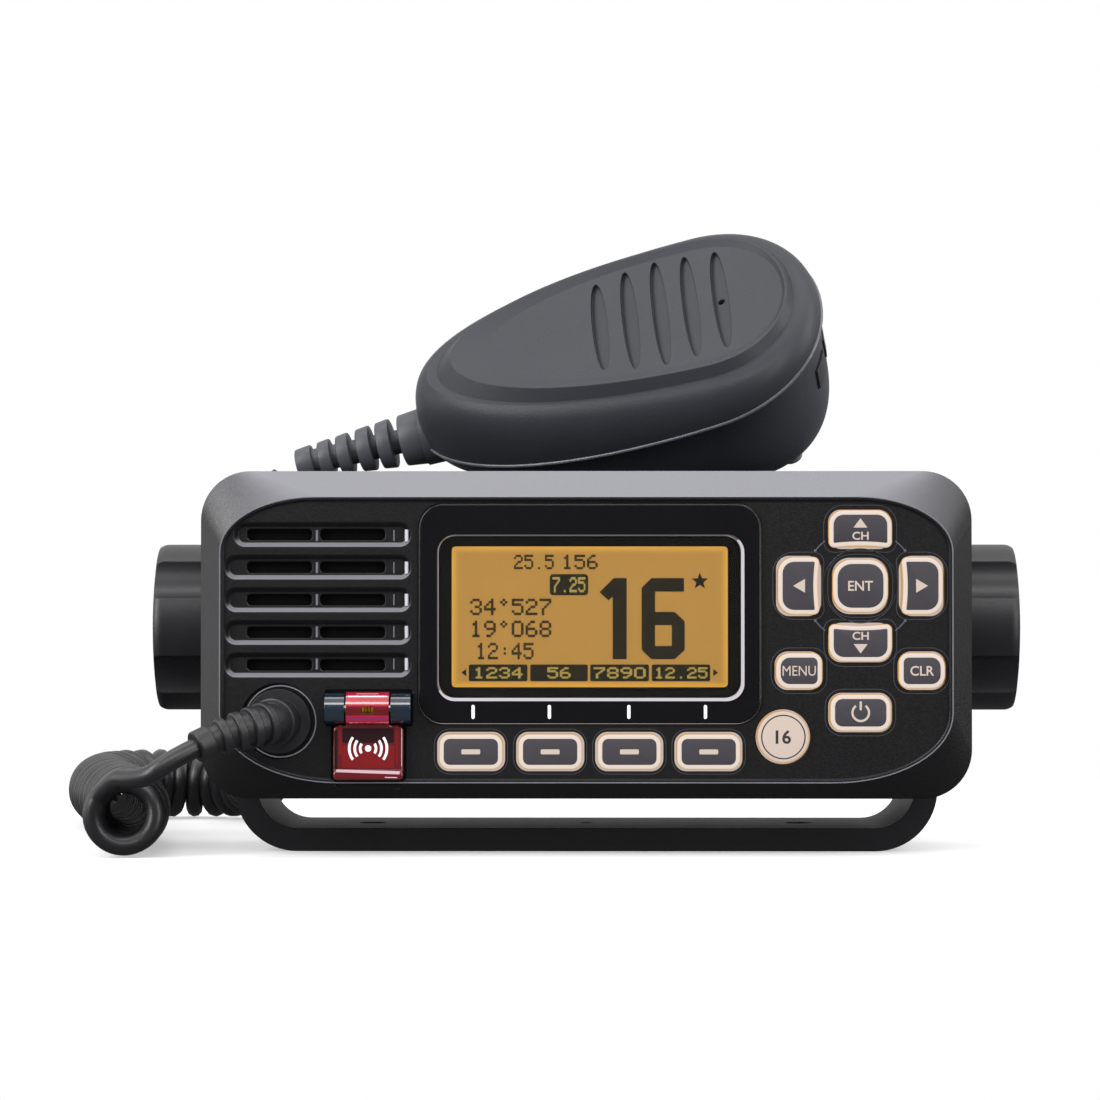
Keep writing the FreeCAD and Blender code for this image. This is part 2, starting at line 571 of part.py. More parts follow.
def knobs():
    """Lobed knobs with a domed face, each moulded round the head of its clamp bolt; the left ones are mirrored."""
    arm = "bracket_width / 2 + knob_arm_gap"
    collar = cylinder("collar", "knob_collar_size", "knob_collar_length + knob_length / 4", x=arm, z="pivot_height",
                      turn=TO_RIGHT)
    head_start = f"{arm} + knob_collar_length"
    head = cylinder("head", "knob_size", "knob_length", x=head_start, z="pivot_height", turn=TO_RIGHT)
    document.recompute()
    rim = [i for i, edge in enumerate(head.Shape.Edges, 1)
           if len(edge.Vertexes) == 1 and edge.CenterOfMass.x > head.Shape.CenterOfMass.x]
    rounded = document.addObject("Part::Fillet", "head_rounded")
    rounded.Base = head
    rounded.Edges = [(i, mm("knob_corner"), mm("knob_corner")) for i in rim]
    dome_radius = "(knob_size ^ 2 / 4 + knob_dome ^ 2) / (2 * knob_dome)"
    dome = document.addObject("Part::Sphere", "dome")
    bind(dome, Radius=dome_radius)
    place(dome, x=f"{head_start} + knob_length - {dome_radius}", z="pivot_height")
    scoops = []
    for i in range(5):
        angle = f"{36 + 72 * i}"
        scoops.append(cylinder(f"scoop_{i}", "2 * scoop_radius", "knob_length + 2", x=f"{head_start} - 1",
                               y=f"0 - scoop_place * cos({angle})", z=f"pivot_height + scoop_place * sin({angle})",
                               turn=TO_RIGHT))
    whole = fuse("knob_whole", collar, common("head_domed", rounded, dome))
    shank = "bracket_wall + washer_thickness + knob_arm_gap + bolt_reach"
    bolt_start = f"{arm} - ({shank})"
    bolt_length = f"{shank} + knob_length - 4"
    bore = cylinder("knob_bore", "bolt_size", bolt_length, x=bolt_start, z="pivot_height", turn=TO_RIGHT)
    bolt = cylinder("clamp_bolt", "bolt_size", bolt_length, x=bolt_start, z="pivot_height", turn=TO_RIGHT)
    for name, piece in (("knob_{}", cut("knob_bored", cut("knob_lobed", whole, *scoops), bore)),
                        ("knob_{}_bolt", bolt)):
        node(name.format("right"), piece)
        mirrored = document.addObject("Part::Mirroring", piece.Name + "_mirrored")
        mirrored.Source = piece
        mirrored.Normal = Vector(1, 0, 0)
        node(name.format("left"), mirrored)


# ---------------------------------------------------------------- front panel

def face_outline(y, left, right, low, high, upper, lower):
    """A closed outline at one Y: four sides and four elliptical corners."""
    def spot(x, z):
        return Vector(x, y, z)
    upper_w, upper_h = upper
    lower_w, lower_h = lower
    return Part.Wire([
        Part.makeLine(spot(left + lower_w, low), spot(right - lower_w, low)),
        conic(spot(right - lower_w, low), spot(right, low), spot(right, low + lower_h)),
        Part.makeLine(spot(right, low + lower_h), spot(right, high - upper_h)),
        conic(spot(right, high - upper_h), spot(right, high), spot(right - upper_w, high)),
        Part.makeLine(spot(right - upper_w, high), spot(left + upper_w, high)),
        conic(spot(left + upper_w, high), spot(left, high), spot(left, high - upper_h)),
        Part.makeLine(spot(left, high - upper_h), spot(left, low + lower_h)),
        conic(spot(left, low + lower_h), spot(left, low), spot(left + lower_w, low))])


def panel_blank():
    """The panel's outside: a straight body, a sloped rim and a face sunk inside a fine ridge."""
    front = -mm("front_reach")
    half_w = mm("panel_width") / 2
    middle = mm("pivot_height") - mm("panel_drop")
    half_h = mm("panel_height") / 2
    corner = (mm("panel_corner"), mm("panel_corner"))
    outside = face_outline(front + mm("bevel_depth"), -half_w, half_w, middle - half_h, middle + half_h, corner, corner)
    ends = (-half_w + mm("rim_side"), half_w - mm("rim_side"),
            middle - half_h + mm("rim_bottom"), middle + half_h - mm("rim_top"))
    upper = (mm("face_corner_width"), mm("face_corner_height"))
    lower = (mm("face_lower_width"), mm("face_lower_height"))
    rim = Part.makeLoft([outside, face_outline(front, *ends, upper, lower)], True, True)
    straight = Part.Face(outside).extrude(Vector(0, mm("panel_depth") - mm("bevel_depth"), 0))
    r = mm("face_ridge")
    sunk = face_outline(front - 1, ends[0] + r, ends[1] - r, ends[2] + r, ends[3] - r,
                        (upper[0] - r, upper[1] - r), (lower[0] - r, lower[1] - r))
    recess = Part.Face(sunk).extrude(Vector(0, 1 + mm("face_recess"), 0))
    return feature("panel_blank", straight.fuse(rim).removeSplitter().cut(recess))


FACE = f"{FRONT} + face_recess"
INSIDE = f"{FACE} + panel_wall"
PAD_UP = f"{PANEL_UP} + pad_up"
KEYS = [
    # name, x, z, width, height, corner
    ("up", "pad_across", f"{PAD_UP} + pad_step_up", "wide_key_width", "wide_key_height", "key_corner"),
    ("down", "pad_across", f"{PAD_UP} - pad_step_up", "wide_key_width", "wide_key_height", "key_corner"),
    ("left", "pad_across - pad_step_across", PAD_UP, "tall_key_width", "tall_key_height", "key_corner"),
    ("right", "pad_across + pad_step_across", PAD_UP, "tall_key_width", "tall_key_height", "key_corner"),
    ("enter", "pad_across", PAD_UP, "enter_size", "enter_size", "enter_corner"),
    ("menu", "pad_across - pad_step_across", f"{PAD_UP} - small_key_drop", "small_key_width", "small_key_height",
     "key_corner"),
    ("clear", "pad_across + pad_step_across", f"{PAD_UP} - small_key_drop", "small_key_width", "small_key_height",
     "key_corner"),
    ("power", "pad_across", f"{PAD_UP} - power_key_drop", "wide_key_width", "wide_key_height", "key_corner"),
    ("sixteen", "pad_across - round_key_offset", f"{PAD_UP} - round_key_drop", "round_key_size", "round_key_size",
     "round_key_size / 2 - 0.01"),
] + [
    (f"soft_{i + 1}", f"display_middle + soft_key_pitch * ({i} - 1.5)", f"{PANEL_UP} - soft_key_drop", "soft_key_width",
     "soft_key_height", "soft_key_corner") for i in range(4)
]
DISTRESS_KEY = ("distress", "0 - distress_across", f"{PANEL_UP} - distress_key_drop", "distress_key_width",
                "distress_key_height", "key_corner")
HINGE_UP = f"{PANEL_UP} - hinge_drop"
HINGE_FRONT = f"{FRONT} - hinge_out"


def key_opening(key):
    name, x, z, width, height, corner = key
    return rounded_block(f"opening_{name}", x, z, f"{width} + 2 * key_gap", f"{height} + 2 * key_gap",
                         f"{corner} + key_gap", f"{FRONT} - 2", "face_recess + panel_wall + 3")


def grille_openings():
    """Five slots, each a shallow recess with sloped sides and a row of through openings."""
    ahead = "0.3"
    grow = f"{ahead} * tan(slot_slope)"
    openings = []
    for i in range(5):
        z = f"{PANEL_UP} + slot_middle + slot_pitch * ({2 - i})"
        trim = "1.8" if i == 0 else "0"
        recess = rounded_block(f"slot_recess_{i + 1}", f"slot_length / 2 - slot_left + ({trim}) / 2", z,
                               f"slot_length - {trim} + 2 * {grow}", f"slot_height + 2 * {grow}",
                               f"slot_height / 2 - 0.2 + {grow}", f"{FACE} - {ahead}", f"slot_recess + {ahead}",
                               slope="slot_slope")
        openings.append(recess)
        for j in range(2):
            x = f"slot_inset - slot_left + slot_through / 2 + ({j}) * (slot_through + slot_bar)"
            openings.append(rounded_block(f"slot_opening_{i + 1}_{j + 1}", x, z, "slot_through", "slot_opening",
                                          "slot_opening / 3", FRONT, "face_recess + panel_wall + 1"))
    return openings


def distress_openings():
    """The recess that takes the hinge and the flap, the key's opening and the finger notch."""
    deep = "hinge_out + face_recess + cover_recess + 3"
    start = f"{HINGE_FRONT} - 3"
    hinge_zone = rounded_block("hinge_recess", "0 - distress_across", HINGE_UP,
                               "hinge_length + 2 * hinge_cap_width + 1.2", "hinge_barrel + 0.8", "0.6", start, deep)
    flap_height = "cover_bottom - hinge_drop + 0.4"
    flap_zone = rounded_block("flap_recess", "0 - distress_across", f"{HINGE_UP} - ({flap_height}) / 2",
                              "cover_width + 0.8", flap_height, "0.8", start, deep)
    notch = rounded_block("finger_notch", "0 - distress_across", f"{PANEL_UP} - cover_bottom", "cover_width",
                          "2 * notch_depth", "notch_depth * 0.9", start, deep)
    return [hinge_zone, flap_zone, notch, key_opening(DISTRESS_KEY)]


def front_panel():
    """The moulded panel: hollow behind, a step for the sealing ring, and all its openings."""
    face_room = rounded_block("room_behind_face", "0", f"{PANEL_UP} + (rim_bottom - rim_top) / 2",
                              "panel_width - 2 * (rim_side + rim_wall)",
                              "panel_height - rim_top - rim_bottom - 2 * rim_wall", "panel_corner / 2", INSIDE,
                              "panel_depth")
    inner_w = "panel_width - 2 * panel_wall - 2 * gasket_width"
    inner_h = "panel_height - 2 * panel_wall - 2 * gasket_width"
    room = rounded_block("room_in_panel", "0", PANEL_UP, inner_w, inner_h, "panel_corner - panel_wall",
                         f"{FRONT} + bevel_depth + panel_wall", "panel_depth")
    back_step = rounded_block("step_for_case", "0", PANEL_UP, "panel_width - 2 * panel_wall",
                              "panel_height - 2 * panel_wall", "panel_corner - panel_wall",
                              f"{FRONT} + panel_depth - flange_plate - gasket_thickness", "panel_depth")
    bezel_opening = rounded_block("bezel_opening", "display_middle", f"{PANEL_UP} + display_height",
                                  "bezel_width + 2 * fit_gap", "bezel_height + 2 * fit_gap", "bezel_corner + fit_gap",
                                  f"{FRONT} - 1", "face_recess + panel_wall + 2")
    outlet_z = f"{PANEL_UP} - outlet_drop"
    outlet_recess = cylinder("outlet_recess_tool", "outlet_recess", "1 + face_recess + outlet_recess_depth",
                             x="0 - outlet_across", y=f"{FRONT} - 1", z=outlet_z, turn=TO_BACK)
    outlet = cylinder("outlet_hole", "boot_neck", "face_recess + panel_wall + 2", x="0 - outlet_across",
                      y=FRONT, z=outlet_z, turn=TO_BACK)
    tools = [face_room, room, back_step, bezel_opening, outlet_recess, outlet]
    tools += [key_opening(key) for key in KEYS] + grille_openings() + distress_openings()
    node("front_panel", cut("panel_with_openings", panel_blank(), *tools))


HOLLOW_SIDES = {
    # the side turned to the middle key: across, up, and the gap between the two
    "up": (0, 1, "pad_gap_up"), "down": (0, -1, "pad_gap_up"),
    "left": (-1, 0, "pad_gap_across"), "right": (1, 0, "pad_gap_across"),
}


def keys():
    """Each key is a rounded cap with a rim behind the face; the direction keys follow the middle key."""
    for key in KEYS + [DISTRESS_KEY]:
        name, x, z, width, height, corner = key
        front = f"{FACE} - key_proud"
        if name == "distress":
            front = f"{FACE} + 0.3"
        back = f"{INSIDE} + seat_gap + flange_thickness"
        cap = rounded_block(f"cap_{name}", x, z, width, height, corner, front, f"({back}) - ({front})", "key_rounding")
        rim = rounded_block(f"rim_{name}", x, z, f"{width} + 2 * key_flange", f"{height} + 2 * key_flange",
                            f"{corner} + key_flange", f"{INSIDE} + seat_gap", "flange_thickness")
        if name in HOLLOW_SIDES:
            across, up, gap = HOLLOW_SIDES[name]
            middle = f"enter_size / 2 + {gap} + key_hollow - key_hollow_radius"
            scoop = cylinder(f"scoop_{name}", "2 * key_hollow_radius", "key_proud + 3", y=f"{FRONT} - 2",
                             x=f"pad_across + {across} * ({middle})", z=f"{PAD_UP} + {up} * ({middle})",
                             turn=TO_BACK)
            cap = cut(f"cap_scooped_{name}", cap, scoop)
        label = "distress_button" if name == "distress" else f"key_{name}"
        node(label, fuse(f"whole_{name}", cap, rim))


# ---------------------------------------------------------------- display and what lies behind the face

DISPLAY_UP = f"{PANEL_UP} + display_height"
WINDOW_UP = f"{DISPLAY_UP} - window_drop"
MAT_FRONT = f"{INSIDE} + 2 * seat_gap + flange_thickness + key_travel"
BOARD_FRONT = f"{MAT_FRONT} + mat_thickness"


def display():
    """Bezel, glass set into its window, and the lit module with its backlight behind."""
    bezel = rounded_block("bezel_block", "display_middle", DISPLAY_UP, "bezel_width", "bezel_height", "bezel_corner",
                          f"{FRONT} - 0.2", "0.2 + face_recess + panel_wall", "key_rounding / 2")
    window = rounded_block("window_opening", "display_middle", WINDOW_UP, "window_width", "window_height",
                           "window_corner", f"{FRONT} - 2", "panel_depth")
    node("display_bezel", cut("bezel_with_window", bezel, window))
    node("display_glass", rounded_block("glass", "display_middle", WINDOW_UP, "window_width - 2 * fit_gap",
                                        "window_height - 2 * fit_gap", "window_corner - fit_gap",
                                        f"{FRONT} + 1.2", "1"))
    screen = rounded_block("lcd", "display_middle", WINDOW_UP, "screen_width", "screen_height", "0.5",
                           f"{FRONT} + 2.35", "1.5")
    backlight = rounded_block("backlight", "display_middle", WINDOW_UP, "screen_width + 4", "screen_height + 3", "1",
                              f"{FRONT} + 3.8", f"({MAT_FRONT}) - ({FRONT}) - 3.8")
    node("lcd_module", fuse("lcd_with_backlight", screen, backlight))


def key_mat_and_board():
    """The silicone sheet under the keys and the board that carries it."""
    left = "display_middle - bezel_width / 2"
    right = "panel_width / 2 - rim_side - rim_wall - 0.5"
    low = "0 - panel_height / 2 + rim_bottom + rim_wall + 0.5"
    high = "panel_height / 2 - rim_top - rim_wall - 0.5"
    mat = rounded_block("mat_sheet", f"({left} + {right}) / 2", f"{PANEL_UP} + ({low} + {high}) / 2",
                        f"({right}) - ({left})", f"({high}) - ({low})", "panel_corner / 2 + 1", MAT_FRONT, "mat_thickness")
    node("key_mat", mat)
    board = rounded_block("board_sheet", f"({left} + {right}) / 2", f"{PANEL_UP} + ({low} + {high}) / 2",
                          f"({right}) - ({left})", f"({high}) - ({low})", "panel_corner / 2 + 1", BOARD_FRONT,
                          "board_thickness")
    node("front_board", board)
    screws = []
    for i, (x, z) in enumerate((("display_middle - bezel_width / 2 + 4", high), (f"{right} - 4", high),
                                ("display_middle - bezel_width / 2 + 4", low), (f"{right} - 4", low))):
        inward = "- 4" if z == high else "+ 4"
        screws.append(cylinder(f"board_screw_head_{i + 1}", "screw_head", "1.6", x=x, y=f"{BOARD_FRONT} + board_thickness",
                               z=f"{PANEL_UP} + {z} {inward}", turn=TO_BACK))
    node("board_screws", group("board_screw_set", *screws))


def speaker():
    """Mesh behind the slots, then the loudspeaker's basket, cone and magnet."""
    x = "slot_length / 2 - slot_left"
    z = f"{PANEL_UP} + slot_middle"
    node("grille_mesh", rounded_block("mesh_sheet", x, z, "slot_length - 6", "4 * slot_pitch + slot_height", "2",
                                      f"{INSIDE} + 0.05", "0.5"))
    basket_front = f"{INSIDE} + 0.6"
    basket = cylinder("basket", "speaker_size", "5.5", x=x, y=basket_front, z=z, turn=TO_BACK)
    room = document.addObject("Part::Cone", "cone_room")
    bind(room, Radius1="speaker_size / 2 - 2", Radius2="7.5", Height="4.5")
    place(room, x, f"{basket_front} - 0.01", z, TO_BACK)
    magnet = cylinder("magnet", "20", "4.1", x=x, y=f"{basket_front} + 5.4", z=z, turn=TO_BACK)
    node("speaker_frame", fuse("speaker_frame_whole", cut("speaker_basket", basket, room), magnet))
    outer = document.addObject("Part::Cone", "cone_outer")
    bind(outer, Radius1="speaker_size / 2 - 2.4", Radius2="7.1", Height="4")
    place(outer, x, f"{basket_front} + 0.1", z, TO_BACK)
    hollow = document.addObject("Part::Cone", "cone_hollow")
    bind(hollow, Radius1="speaker_size / 2 - 3", Radius2="6.5", Height="3.4")
    place(hollow, x, f"{basket_front} + 0.09", z, TO_BACK)
    node("speaker_cone", cut("speaker_diaphragm", outer, hollow))


# ---------------------------------------------------------------- distress cover

def distress_cover():
    """A flap on a hinge barrel, whose middle is open over the spring."""
    across = "0 - distress_across"
    barrel = cylinder("cover_barrel", "hinge_barrel", "hinge_length", x=f"{across} - hinge_length / 2", y=HINGE_FRONT,
                      z=HINGE_UP, turn=TO_RIGHT)
    flap_top = f"{HINGE_UP} - hinge_cap_height / 2 - hinge_clearance"
    flap_low = f"{PANEL_UP} - cover_bottom"
    flap_front = f"{FACE} - cover_back - cover_thickness"
    flap = rounded_block("flap", across, f"(({flap_top}) + ({flap_low})) / 2", "cover_width",
                         f"({flap_top}) - ({flap_low})", "1.2", flap_front, "cover_thickness", "0.5")
    neck = box("flap_neck", f"{across} - hinge_length / 2", flap_front, f"{flap_top} - 1", "hinge_length", "cover_thickness",
               f"{HINGE_UP} - ({flap_top}) + 1")
    lip = rounded_block("flap_lip", across, f"{flap_low} + cover_lip / 2", "cover_width", "cover_lip",
                        "cover_lip / 2 - 0.1", f"{flap_front} - 0.7", "cover_thickness + 0.7", "0.5")
    bore = cylinder("barrel_bore", "hinge_pin_size + 0.1", "hinge_length + 2", x=f"{across} - hinge_length / 2 - 1",
                    y=HINGE_FRONT, z=HINGE_UP, turn=TO_RIGHT)
    spring_room = cylinder("spring_room", "4.8", "3.4", x=f"{across} - 1.7", y=HINGE_FRONT, z=HINGE_UP, turn=TO_RIGHT)
    window = box("spring_window", f"{across} - 1.2", f"{HINGE_FRONT} - hinge_barrel", f"{HINGE_UP} - 1", "2.4",
                 "hinge_barrel", "2")
    node("distress_cover", cut("cover_bored", fuse("cover_whole", barrel, flap, neck, lip), bore, spring_room, window))


def hinge_parts():
    """Two fixed caps, the pin through them and the spring that closes the flap."""
    across = "0 - distress_across"
    caps = []
    for side, sign in (("left", "-1"), ("right", "1")):
        x = f"{across} + {sign} * (hinge_length / 2 + 0.3 + hinge_cap_width / 2) - hinge_cap_width / 2"
        drum = cylinder(f"hinge_drum_{side}", "hinge_cap_height", "hinge_cap_width", x=x, y=HINGE_FRONT, z=HINGE_UP,
                        turn=TO_RIGHT)
        foot = box(f"hinge_foot_{side}", x, HINGE_FRONT, f"{HINGE_UP} - hinge_cap_height / 2", "hinge_cap_width",
                   f"({FACE}) + cover_recess - ({HINGE_FRONT})", "hinge_cap_height")
        caps.append(fuse(f"hinge_cap_{side}", drum, foot))
    pin_length = "hinge_length + 0.6 + hinge_cap_width"
    pin_start = f"{across} - ({pin_length}) / 2"
    pin_bore = cylinder("pin_bore", "hinge_pin_size", pin_length, x=pin_start, y=HINGE_FRONT, z=HINGE_UP, turn=TO_RIGHT)
    node("hinge_caps", cut("hinge_caps_bored", group("hinge_cap_pair", *caps), pin_bore))
    node("hinge_pin", cylinder("pin", "hinge_pin_size", pin_length, x=pin_start, y=HINGE_FRONT, z=HINGE_UP,
                               turn=TO_RIGHT))
    coils = []
    for i in range(4):
        coil = document.addObject("Part::Torus", f"spring_turn_{i + 1}")
        bind(coil, Radius1="1.5", Radius2="0.36")
        coils.append(place(coil, f"{across} + ({i} - 1.5) * 0.68", HINGE_FRONT, HINGE_UP, TO_RIGHT))
    node("hinge_spring", fuse("torsion_spring", *coils))


# ---------------------------------------------------------------- die-cast case

CASE_FRONT = f"{FRONT} + panel_depth"
CASE_UP = "case_bottom + case_height / 2"


def panel_gasket():
    front = f"{CASE_FRONT} - flange_plate - gasket_thickness"
    ring = rounded_block("gasket_outside", "0", PANEL_UP, "panel_width - 2 * panel_wall - 2 * fit_gap",
                         "panel_height - 2 * panel_wall - 2 * fit_gap", "panel_corner - panel_wall - fit_gap", front,
                         "gasket_thickness")
    hole = rounded_block("gasket_inside", "0", PANEL_UP, "panel_width - 2 * panel_wall - 2 * gasket_width",
                         "panel_height - 2 * panel_wall - 2 * gasket_width", "panel_corner - panel_wall - gasket_width",
                         f"{front} - 1", "gasket_thickness + 2")
    node("panel_gasket", cut("gasket_ring", ring, hole))


def chassis():
    """The case: front flange, hollow box, bolt bosses inside, fins and flat lands behind."""
    flange = rounded_block("case_flange", "0", PANEL_UP, "panel_width - 2 * panel_wall - 2 * fit_gap",
                           "panel_height - 2 * panel_wall - 2 * fit_gap", "panel_corner - panel_wall - fit_gap",
                           f"{CASE_FRONT} - flange_plate", "flange_plate")
    shell = rounded_block("case_shell", "0", CASE_UP, "case_width", "case_height", "case_corner", CASE_FRONT,
                          f"case_reach + fin_depth - ({CASE_FRONT})")
    room = rounded_block("case_room", "0", CASE_UP, "case_width - 2 * case_wall", "case_height - 2 * case_wall",
                         "case_corner - case_wall", f"{CASE_FRONT} - flange_plate - 1",
                         f"case_reach - case_wall - ({CASE_FRONT}) + flange_plate + 1")
    bosses = []
    bores = []
    for side, sign, turn in (("left", "-1", TO_RIGHT), ("right", "1", TO_LEFT)):
        wall = f"{sign} * case_width / 2"
        bosses.append(cylinder(f"bolt_boss_{side}", "pivot_boss", "bolt_reach + 3", x=wall, z="pivot_height", turn=turn))
        bores.append(cylinder(f"bolt_hole_{side}", "bolt_size + 2 * bolt_running_gap", "bolt_reach + 2",
                              x=f"{wall} + {sign} * 1", z="pivot_height", turn=turn))
    gaps = []
    fins = 9
    for i in range(fins + 1):
        x = f"({i} - {fins} / 2) * fin_pitch - (fin_pitch - fin_thickness) / 2"
        gaps.append(box(f"fin_gap_{i + 1}", x, "case_reach", "case_bottom - 1", "fin_pitch - fin_thickness",
                        "fin_depth + 1", "case_height + 2"))
    edge = f"({fins} / 2) * fin_pitch + fin_pitch / 2"
    for side, x in (("left", "0 - case_width / 2 - 1"), ("right", edge)):
        gaps.append(box(f"back_land_{side}", x, "case_reach", "case_bottom - 1", f"case_width / 2 + 1 - ({edge})",
                        "fin_depth + 1", "case_height + 2"))
    hollow = cut("case_hollow", fuse("case_whole", flange, shell), room)
    node("chassis", cut("case_finished", fuse("case_with_bosses", hollow, *bosses), *bores, *gaps, *case_screw_tools()))


def case_screw_tools(name="hole", gap="0"):
    """Countersunk screws through the flange's corners, flush with its back."""
    tools = []
    for i, (side, up) in enumerate(((-1, -1), (-1, 1), (1, -1), (1, 1))):
        x = f"{side} * (panel_width / 2 - panel_wall - screw_edge)"
        z = f"{PANEL_UP} + {up} * (panel_height / 2 - panel_wall - screw_edge - 1.5)"
        shank = cylinder(f"case_screw_{name}_{i + 1}", "screw_size", "flange_plate", x=x,
                         y=f"{CASE_FRONT} - flange_plate", z=z, turn=TO_BACK)
        head = document.addObject("Part::Cone", f"case_screw_head_{name}_{i + 1}")
        bind(head, Radius1="screw_size / 2", Radius2="screw_head / 2", Height="1.5")
        place(head, x, f"{CASE_FRONT} - 1.5", z, TO_BACK)
        tools.append(fuse(f"case_screw_{name}_whole_{i + 1}", shank, head))
    return tools


def chassis_screws():
    node("chassis_screws", group("case_screw_set", *case_screw_tools("body")))


def electronics():
    """Main board on the case floor's ribs, its shield and the heat-sunk power module."""
    length = f"case_reach - case_wall - 2 - ({CASE_FRONT})"
    board_z = "case_bottom + case_wall + 9"
    front = f"{CASE_FRONT} + 0.5"
    node("main_board", box("board", "board_edge - case_width / 2 + case_wall", front, board_z,
                           "case_width - 2 * (case_wall + board_edge)", length, "board_thickness"))
    end = "case_width / 2 - case_wall - board_edge"
    node("shield_can", box("shield", f"shield_edge - ({end})", f"{front} + 8", f"{board_z} + board_thickness",
                           "shield_length", "44", "7"))
    node("power_module", box("module", f"{end} - module_edge - module_length", "case_reach - case_wall - 16.3",
                             f"{board_z} + board_thickness", "module_length", "16.3", "9"))


def back_fittings():
    """Antenna socket, two cable glands and the ground screw."""
    x, z = "0 - socket_across", "socket_height"
    plate = rounded_block("socket_flange", x, z, "socket_plate", "socket_plate", "1.5", "case_reach", "2")
    barrel = cylinder("socket_barrel", "socket_thread", "socket_length", x=x, y="case_reach", z=z, turn=TO_BACK)
    inside = cylinder("socket_inside", "11.4", "socket_length - 4", x=x, y="case_reach + 4.5", z=z, turn=TO_BACK)
    body = cut("socket_body", fuse("socket_whole", plate, barrel), inside)
    dielectric = cylinder("socket_dielectric", "9", "5", x=x, y="case_reach + 4.5", z=z, turn=TO_BACK)
    contact = cylinder("socket_contact_hole", "4", "10", x=x, y="case_reach + 5", z=z, turn=TO_BACK)
    node("antenna_socket", group("socket_with_insulator", body, cut("insulator", dielectric, contact)))
    glands = []
    for name, gx, gz in (("power_gland", "socket_across", "socket_height - 4"),
                         ("data_gland", "socket_across", "socket_height - 24")):
        nut = document.addObject("Part::Prism", name + "_nut")
        nut.Polygon = 6
        bind(nut, Circumradius="gland_size * 0.72", Height="4")
        place(nut, gx, "case_reach", gz, TO_BACK)
        neck = cylinder(name + "_neck", "gland_size", "gland_length", x=gx, y="case_reach", z=gz, turn=TO_BACK)
        mouth = cylinder(name + "_mouth", "gland_size * 0.5", "5", x=gx, y="case_reach + gland_length - 4.5", z=gz,
                         turn=TO_BACK)
        glands.append(cut(name + "_bored", fuse(name + "_whole", nut, neck), mouth))
    node("cable_glands", group("gland_pair", *glands))
    node("ground_screw", cylinder("ground_screw_head", "7", "3", x="0 - socket_across", y="case_reach",
                                  z="case_bottom + 12", turn=TO_BACK))


# ---------------------------------------------------------------- cord and its boot

def bezier(points, t):
    """A point and direction on a cubic curve."""
    a, b, c, d = points
    spot = a * (1 - t) ** 3 + b * 3 * t * (1 - t) ** 2 + c * 3 * t * t * (1 - t) + d * t ** 3
    along = (b - a) * 3 * (1 - t) ** 2 + (c - b) * 6 * t * (1 - t) + (d - c) * 3 * t * t
    return spot, along


BOOT_AIM = Vector(-0.8, -0.45, -0.39)


def outlet_middle():
    """Where the cord leaves the front plane."""
    return Vector(-mm("outlet_across"), -mm("front_reach"), mm("pivot_height") - mm("panel_drop") - mm("outlet_drop"))


def boot_end():
    return outlet_middle() + Vector(-mm("boot_reach_left"), -mm("boot_reach_out"), -mm("boot_reach_down"))


PANEL_BOOT_RIBS = [(0.16, 2.4), (0.34, 1.8), (0.48, 1.8), (0.62, 1.8), (0.76, 1.8), (1, 3.4)]


def panel_boot():
    """The bent strain relief: a foot on the panel, a neck through it and a tapered elbow."""
    x, y, z = outlet_middle()
    floor = y + mm("face_recess") + mm("outlet_recess_depth")
    foot_front = Vector(x, floor - mm("boot_foot"), z)
    neck_back = y + mm("face_recess") + mm("panel_wall") + 0.8
    back = Vector(0, 1, 0)
    foot = Part.makeCylinder(mm("boot_disc") / 2, mm("boot_foot"), foot_front, back)
    neck = Part.makeCylinder(mm("boot_neck") / 2, neck_back - floor + 0.5, Vector(x, floor - 0.5, z), back)
    curve = [foot_front + back * 0.4, foot_front - back * 8.5, boot_end() - BOOT_AIM * 9, boot_end()]
    big, small = mm("boot_neck") / 2 + 1, mm("boot_tip") / 2

    def radius(t):
        return big - (big - small) * t ** 0.8
    sections = []
    for i in range(7):
        spot, along = bezier(curve, i / 6)
        sections.append((spot, along, radius(i / 6) - mm("boot_rib")))
    pieces = [neck, smooth_tube(sections)]
    for t, width in PANEL_BOOT_RIBS:
        spot, along = bezier(curve, t)
        along = along.normalize() if t < 1 else along.normalize() * -1
        back_up = width / 2 if t < 1 else 0
        rib = Part.makeCylinder(radius(t), width, spot - along * back_up, along)
        pieces.append(rib.makeFillet(0.35, [edge for edge in rib.Edges if edge.Closed and len(edge.Vertexes) == 1]))
    node("panel_boot", feature("boot_solid", foot.fuse(pieces).removeSplitter()))


def mic_placement():
    return Placement(Vector(mm("mic_x"), mm("mic_y"), mm("mic_z")),
                     Rotation(mm("mic_yaw"), mm("mic_pitch"), mm("mic_roll")))


